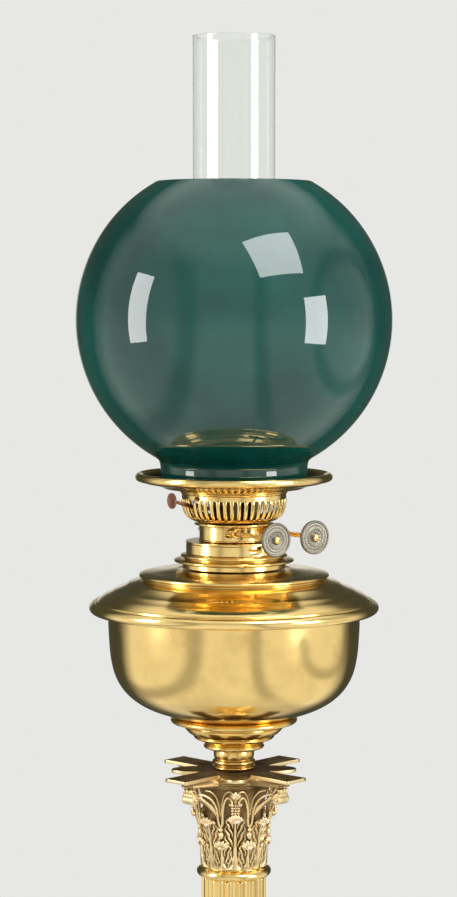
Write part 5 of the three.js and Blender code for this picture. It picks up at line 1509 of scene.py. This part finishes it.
class BRASSLAMP_OT_lever(bpy.types.Operator):
    """Builds the extinguisher: its lever with the round thumb tab, its bracket and its pin."""

    bl_idname = "brasslamp.lever"
    bl_label = "Extinguisher lever"

    def execute(self, context):
        low, high = burner_box("lever_pin")
        x, _, z = (low + high) / 2
        self.lever(x, z)
        self.bracket(x, z)
        pin = [(AXIS, low[1]), (0.7 * MM, low[1] + 0.02 * MM, -0.3), (1.1 * MM, low[1] + 0.3 * MM),
               (1.1 * MM, high[1] - 0.3 * MM, -0.3), (0.7 * MM, high[1] - 0.02 * MM), (AXIS, high[1])]
        on_burner("lever_pin", "steel", "burner", rod_along_y(pin, x, z, 0.05 * MM, 24))
        return {"FINISHED"}

    def lever(self, x, z):
        """A bar through its eye, out to the tab, which is a disc with a domed rim along X."""
        low, high = burner_box("extinguisher_lever")
        tip = high[0]
        tab_x, tab_z = low[0] + 0.7 * MM, z + 5.2 * MM
        half = 1.1 * MM
        eye = 2.6 * MM
        rows = [(tip, z - 3.5 * MM), (tip, z - 1.3 * MM), (x + 2.2 * MM, z + 1.3 * MM), (x, z + eye, 0.15),
                (x - 2.2 * MM, z + 1.5 * MM), (tab_x + 0.3 * MM, tab_z + half * 0.8),
                (tab_x + 0.3 * MM, tab_z - half * 0.8), (x - 2.2 * MM, z - 1.5 * MM), (x, z - eye, 0.15),
                (x + 2.2 * MM, z - 1.4 * MM)]
        arm = side_plate(rows[::-1], 2.4 * MM)
        hole = rod_along_y([(PIN_BORE, -4 * MM), (PIN_BORE, 4 * MM)], x, z, sides=24)
        thick, radius = 0.7 * MM, 5.0 * MM
        disc = bulged([(AXIS, -thick), (radius - 0.5 * MM, -thick, -0.5), (radius, -thick * 0.3),
                       (radius, thick * 0.3, -0.5), (radius - 0.5 * MM, thick),
                       (radius - 1.2 * MM, thick * 0.75), (AXIS, thick * 0.6)], steps=5)
        angle = around(48)
        grid = np.stack([tab_x - disc[:, 1:2] + 0 * angle, disc[:, :1] * np.cos(angle),
                         tab_z + disc[:, :1] * np.sin(angle)], -1)
        on_burner("extinguisher_lever", "copper", "lever", carved(arm, hole), capped_part(grid))

    def bracket(self, x, z):
        """Two ears on a strip, drilled for the pin."""
        low, high = burner_box("lever_bracket")
        bottom, top = low[2], high[2]
        rows = [(-15 * MM, bottom), (-15 * MM, bottom + 1.6 * MM), (x + 3 * MM, z - 1.6 * MM, 0.0),
                (x + 2.6 * MM, z, 0), (x + 1.8 * MM, top - 0.6 * MM), (x, top, 0),
                (low[0] + 0.6 * MM, top - 0.5 * MM), (low[0], z), (low[0] + 0.4 * MM, z - 2.2 * MM),
                (-21.5 * MM, bottom)]
        hole = rod_along_y([(PIN_BORE, -8 * MM), (PIN_BORE, 8 * MM)], x, z, sides=24)
        ear = carved(side_plate(rows, 1.0 * MM, 0.5 * MM), hole)
        ears = [(ear[0] + [0, y, 0], ear[1]) for y in (-2.0 * MM, 2.0 * MM)]
        strip = boxed((-20.5 * MM, -2.5 * MM, bottom), (-15.2 * MM, 2.5 * MM, bottom + 1 * MM))
        on_burner("lever_bracket", "warm_brass", "burner", *ears, strip)


class BRASSLAMP_OT_gallery(bpy.types.Operator):
    """Builds the shade gallery with its rolled rim, the chimney holder and the flame spreader."""

    bl_idname = "brasslamp.gallery"
    bl_label = "Gallery, holder and flame spreader"

    def execute(self, context):
        self.dish()
        self.holder()
        self.spreader()
        return {"FINISHED"}

    def dish(self):
        """Hub, cove and dish spun from one sheet, its rim rolled out: four fine lines run round the roll."""
        radius, bottom, top = span("gallery")
        roll = 2.6 * MM
        centre, middle = radius - roll, top - roll
        turn = np.linspace(-112, 158, 64)
        dip = sum(np.exp(-((turn - at) / 3.2) ** 2) for at in (-38, -14, 10, 34))
        r = roll - 0.16 * MM * dip
        rim = np.stack([centre + r * np.cos(turn * DEGREE), middle + r * np.sin(turn * DEGREE)], -1)
        under, over = ([(across * MM, bottom + up * MM, *bend) for across, up, *bend in rows] for rows in (
            [(27.5, 0), (33.2, 0, 0), (34.1, 0.05, -0.85), (34.5, 1.0), (34.9, 1.25, 0.12), (45, 3.1, 0.1),
             (57.6, 6.6)],
            [(57.4, 8.0), (45, 4.3, -0.1), (35.5, 2.4, -0.1), (33.8, 1.2), (27.5, 1.2)]))
        line = np.concatenate([eased(bulged(under, steps=6), 0.25 * MM, closed=False), rim,
                               eased(bulged(over, steps=6), 0.25 * MM, closed=False)])
        make("gallery", [looped_part(revolved(line, 192))], "polished_brass", "gallery")

    def holder(self):
        """A ring whose wall is cut into eight springs that lean in at the middle and out at the lip."""
        radius, bottom, top = span("chimney_holder")
        wall, floor = 0.8 * MM, 1 * MM
        up = np.linspace(0, 1, 17)
        height = bottom + floor * 0.5 + (top - bottom - floor * 0.5) * up
        lean = np.interp(up, [0, 0.5, 0.8, 1], [0, 0, 0.1, 0]) * MM
        springs, columns = 8, 192
        angle = around(columns)
        share = (angle * springs / (2 * math.pi) + 0.5) % 1 - 0.5
        grids = [on_ring((radius - inset - lean)[:, None], angle, height[:, None]) for inset in (0, wall)]
        middle = np.abs(share + 0.5 / (columns / springs)) < 0.175
        rows_open = (up[1:] + up[:-1]) / 2 > 0.14
        wall_part = pierced(*grids, rows_open[:, None] & middle[None, :])
        ring = lathe(box_line(29.2 * MM, radius, bottom, bottom + floor), 0.15 * MM, 144)
        make("chimney_holder", [wall_part, ring], "polished_brass", "gallery")

    def spreader(self):
        """A dome on a flange: quarter ellipses outside and inside, cut by two slots for the sleeves."""
        radius, bottom, top = span("flame_spreader")
        dome, wall = 26 * MM, 0.7 * MM
        shoulder = bottom + 3.5 * MM
        turn = np.linspace(0, math.pi / 2 - 0.02, 28)
        outer = np.stack([dome * np.cos(turn), shoulder + (top - shoulder) * np.sin(turn)], -1)
        inner = np.stack([(dome - wall) * np.cos(turn),
                          shoulder + (top - wall - shoulder) * np.sin(turn)], -1)
        foot = bulged([(dome - wall, bottom), (radius - 0.3 * MM, bottom, -0.8),
                       (radius - 0.3 * MM, bottom + 1 * MM), (dome + 0.4 * MM, bottom + 1 * MM, 0.3),
                       (dome, bottom + 1.5 * MM)], steps=6)
        line = np.concatenate([foot, outer, inner[::-1]])
        part = lathe(line, 0.15 * MM, 144)
        slots = [oblong_block(15.25 * MM, 3.85 * MM, x, bottom - 3 * MM, top + 3 * MM) for x in TUBES_X]
        on_burner("flame_spreader", "polished_brass", "gallery", carved(part, *slots))


class BRASSLAMP_OT_glass(bpy.types.Operator):
    """Builds the glass: the clear chimney with its belly, and the ball shade with its neck."""

    bl_idname = "brasslamp.glass"
    bl_label = "Chimney and shade"

    def execute(self, context):
        sizes = context.scene.brass_lamp_sizes
        self.chimney(sizes.chimney_wall)
        self.shade(sizes.shade_wall)
        return {"FINISHED"}

    def chimney(self, wall):
        """A smooth cubic through foot, belly, shoulder and tube, and the same line a wall further in."""
        radius, bottom, top = span("chimney")
        foot, belly, tube = 31.75, radius / MM, 26.4
        rows = [(foot, 0), (foot, 6), (foot, 12), (33.0, 18), (35.2, 26), (37.3, 35), (belly, 44),
                (37.6, 52), (35.9, 62), (33.2, 72), (30.3, 83), (28.0, 94), (26.8, 106), (tube, 122),
                (tube, 150), (tube, 200), (tube, 250), (tube, (top - bottom) / MM)]
        line = curve_through(np.array(rows), 6) * MM + [0, bottom]
        line[:, 0] = np.minimum(line[:, 0], radius)
        profile = eased(shell(line, wall), 0.7 * MM, steps=4)
        make("chimney", [looped_part(revolved(profile, 160))], "clear_glass", "chimney")

    def shade(self, wall):
        """Ball: r = R cos a, z = middle + R sin a, from its neck to its mouth, and the same a wall in."""
        radius, bottom, top = span("globe_shade")
        throat, neck, neck_high = 49.5 * MM, 47.5 * MM, 16.9 * MM
        middle = bottom + neck_high + math.sqrt(radius ** 2 - throat ** 2)
        first = -math.acos((throat + 0.6 * MM) / radius)
        last = math.asin((top - middle) / radius)
        turn = np.linspace(first, last, 96)
        ball_line = np.stack([radius * np.cos(turn), middle + radius * np.sin(turn)], -1)
        foot = bulged([(neck, bottom), (neck + 0.05 * MM, bottom + 9.5 * MM, 0.1),
                       (neck + 0.8 * MM, bottom + neck_high - 1.5 * MM, 0.2)], steps=6)
        line = np.concatenate([foot, ball_line])
        profile = eased(shell(line, wall), 0.5 * MM, steps=4, least=25 * DEGREE)
        make("globe_shade", [looped_part(revolved(profile, 224))], "teal_glass", "shade")


class BRASSLAMP_OT_inside(bpy.types.Operator):
    """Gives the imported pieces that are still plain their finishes, by the record's slots."""

    bl_idname = "brasslamp.inside"
    bl_label = "Finishes of the plain pieces"

    def execute(self, context):
        for part in frame["record"]["subparts"]:
            dress(part["material_slot"], part["node"])
        return {"FINISHED"}


def soft_lamp(name, place, target, size, power):
    """An oblong area lamp at a place, turned so that it looks at the target."""
    data = bpy.data.lights.new(name, "AREA")
    data.shape = "RECTANGLE"
    data.size, data.size_y = size
    data.energy = power
    lamp = bpy.data.objects.new(name, data)
    bpy.context.scene.collection.objects.link(lamp)
    lamp.location = place
    aim = Vector(target) - Vector(place)
    lamp.rotation_euler = aim.to_track_quat("-Z", "Y").to_euler()


class BRASSLAMP_OT_stage(bpy.types.Operator):
    """Sets the pale floor, the soft lamps, the pale room and the camera at the photograph's angle."""

    bl_idname = "brasslamp.stage"
    bl_label = "Floor, light and camera"

    def execute(self, context):
        context.scene.view_settings.view_transform = "Standard"
        self.floor()
        self.room()
        self.lamps()
        self.camera()
        return {"FINISHED"}

    def floor(self):
        """A disc at height 0: rings of points at radius 4 m x share squared, and a fan inside."""
        sides, reach = 96, 4.0
        share = np.linspace(0.02, 1, 24) ** 2 * reach
        points, faces = grid_part(on_ring(share[:, None], around(sides), 0.0))
        points = np.concatenate([points, np.zeros((1, 3))])
        first = np.arange(sides)
        fan = np.stack([np.full(sides, len(points) - 1), np.roll(first, -1), first], -1)
        mesh = mesh_of(points, [faces[0][:, ::-1], fan[:, ::-1]], "studio_floor")
        material, tree = fresh_material("studio_floor")
        pale = bpy.context.scene.brass_lamp_colours.floor
        place = tree.object_place()
        spot = tree.noise(place, 3.0, 2.0)
        lit = tree.add("BsdfPrincipled", {
            "Base Color": tree.blend(spot, shade_of(pale, 0.98), shade_of(pale, 1.02)), "Roughness": 0.85})
        away = tree.add("VectorMath", {0: place}, out=1, operation="LENGTH")
        seen = tree.maths("MULTIPLY", tree.spread(away, 0.55, 0.95), self.seen(tree))
        mirrored = tree.add("LightPath", out=None).outputs["Is Glossy Ray"]
        mirrored = tree.maths("MULTIPLY", tree.spread(away, 0.14, 0.34), mirrored)
        share = tree.maths("MAXIMUM", seen, mirrored)
        from_lamp = tree.add("VectorMath", {0: place, 1: (0, 0, 0.6)}, operation="SUBTRACT")
        wall = tree.add("Emission", {"Color": self.backdrop(tree, from_lamp)})
        mixed = tree.add("MixShader", {0: share, 1: lit, 2: wall})
        tree.add("OutputMaterial", {"Surface": mixed}, out=None)
        mesh.materials.append(material)
        floor = bpy.data.objects.new("studio_floor", mesh)
        bpy.context.scene.collection.objects.link(floor)

    def seen(self, tree, *more):
        """1 for a ray from the camera or through glass, and for the other kinds named."""
        path = tree.add("LightPath", out=None)
        share = path.outputs["Is Camera Ray"]
        for kind in ("Is Transmission Ray", *more):
            share = tree.maths("MAXIMUM", share, path.outputs[kind])
        return share

    def backdrop(self, tree, way):
        """Pale to the eye.

        Mirrors see a bright front with three dim bands, a dark back with one pale screen low in its
        middle, and a light ceiling.
        """
        pale = bpy.context.scene.brass_lamp_colours.backdrop
        way = tree.add("VectorMath", {0: way}, operation="NORMALIZE")
        apart = tree.add("SeparateXYZ", {0: way}, out=None)
        aside, back, up = apart.outputs[0], apart.outputs[1], apart.outputs[2]
        light, dark = (1.0, 0.98, 0.92), (0.065, 0.07, 0.055)
        front = tree.blend(tree.spread(up, -0.15, 0.15), light, shade_of(light, 0.68))
        for low, high in ((-0.72, -0.42), (0.16, 0.40), (0.78, 0.90)):
            middle, half = (low + high) / 2, (high - low) / 2
            off = tree.maths("ABSOLUTE", tree.maths("SUBTRACT", aside, middle))
            front = tree.blend(tree.spread(off, half * 0.3, half, 0.6, 0.0), front, shade_of(light, 0.22))
        room = tree.blend(tree.spread(back, 0.30, 0.58), front, dark)
        screen = tree.maths("MULTIPLY", tree.spread(back, 0.95, 0.985), tree.spread(up, 0.07, 0.15, 1.0, 0.0))
        room = tree.blend(screen, room, pale)
        room = tree.blend(tree.spread(up, 0.60, 0.78), room, light)
        return tree.blend(self.seen(tree), room, pale)

    def room(self):
        """A soft grey room for the light, and the backdrop for the eye, for mirrors and for glass."""
        world = bpy.context.scene.world or bpy.data.worlds.new("room")
        bpy.context.scene.world = world
        world.use_nodes = True
        world.node_tree.nodes.clear()
        tree = Tree(world.node_tree)
        soft = tree.add("Background", {"Color": (0.6, 0.6, 0.61, 1), "Strength": 0.55})
        shown = tree.add("Background", {"Color": self.backdrop(tree, tree.add("TexCoord", out=0))})
        mixed = tree.add("MixShader", {0: self.seen(tree, "Is Glossy Ray"), 1: soft, 2: shown})
        tree.add("OutputWorld", {"Surface": mixed}, out=None)

    def lamps(self):
        """A tall soft window at the left, a lower one at the right and a panel above the right front."""
        middle = (0, 0, 0.5)
        soft_lamp("left_window", (-1.9, -0.55, 0.85), middle, (0.55, 1.4), 20)
        soft_lamp("right_window", (1.5, -0.95, 0.62), middle, (0.55, 0.9), 15)
        soft_lamp("top_panel", (0.72, -1.0, 1.85), middle, (1.0, 0.9), 20)

    def camera(self):
        """A lens of 200 mm at 1.63 m from the lamp's axis, 0.64 m up, looking 3.8 degrees down."""
        turn, away, aside, high, tilt = -2 * DEGREE, 1.6334, 0.0035, 0.6366, (90 - 3.845) * DEGREE
        data = bpy.data.cameras.new("camera")
        data.sensor_fit = "HORIZONTAL"
        data.sensor_width = 36
        data.lens = 200.42
        camera = bpy.data.objects.new("camera", data)
        bpy.context.scene.collection.objects.link(camera)
        camera.location = (math.sin(turn) * away - math.cos(turn) * aside,
                           -math.cos(turn) * away - math.sin(turn) * aside, high)
        camera.rotation_euler = (tilt, 0, turn)
        bpy.context.scene.camera = camera


class BRASSLAMP_PT_sidebar(bpy.types.Panel):
    """Lists the colours, the sizes and a button for each group of pieces."""

    bl_idname = "BRASSLAMP_PT_sidebar"
    bl_label = "Brass oil lamp"
    bl_space_type = "VIEW_3D"
    bl_region_type = "UI"
    bl_category = "Brass Lamp"

    def draw(self, context):
        """Every colour and size, then the buttons."""
        column = self.layout.column(align=True)
        for group in (context.scene.brass_lamp_colours, context.scene.brass_lamp_sizes):
            for name in group.__annotations__:
                column.prop(group, name)
            column.separator()
        for operator in OPERATORS:
            column.operator(operator.bl_idname)


GROUPS = (BrassLampColours, BrassLampSizes)
OPERATORS = (
    BRASSLAMP_OT_stage,
    BRASSLAMP_OT_inside,
    BRASSLAMP_OT_base,
    BRASSLAMP_OT_column,
    BRASSLAMP_OT_capital,
    BRASSLAMP_OT_font,
    BRASSLAMP_OT_collar,
    BRASSLAMP_OT_drum,
    BRASSLAMP_OT_winders,
    BRASSLAMP_OT_wicks,
    BRASSLAMP_OT_lever,
    BRASSLAMP_OT_gallery,
    BRASSLAMP_OT_glass,
)


def register():
    """Adds the property groups, the operators and the panel."""
    for kind in (*GROUPS, *OPERATORS, BRASSLAMP_PT_sidebar):
        bpy.utils.register_class(kind)
    bpy.types.Scene.brass_lamp_colours = bpy.props.PointerProperty(type=BrassLampColours)
    bpy.types.Scene.brass_lamp_sizes = bpy.props.PointerProperty(type=BrassLampSizes)


def unregister():
    """Takes them away again."""
    del bpy.types.Scene.brass_lamp_sizes
    del bpy.types.Scene.brass_lamp_colours
    for kind in (BRASSLAMP_PT_sidebar, *reversed(OPERATORS), *reversed(GROUPS)):
        bpy.utils.unregister_class(kind)


def main():
    register()
    for operator in OPERATORS:
        group, name = operator.bl_idname.split(".")
        getattr(getattr(bpy.ops, group), name)()


if __name__ == "__main__":
    main()
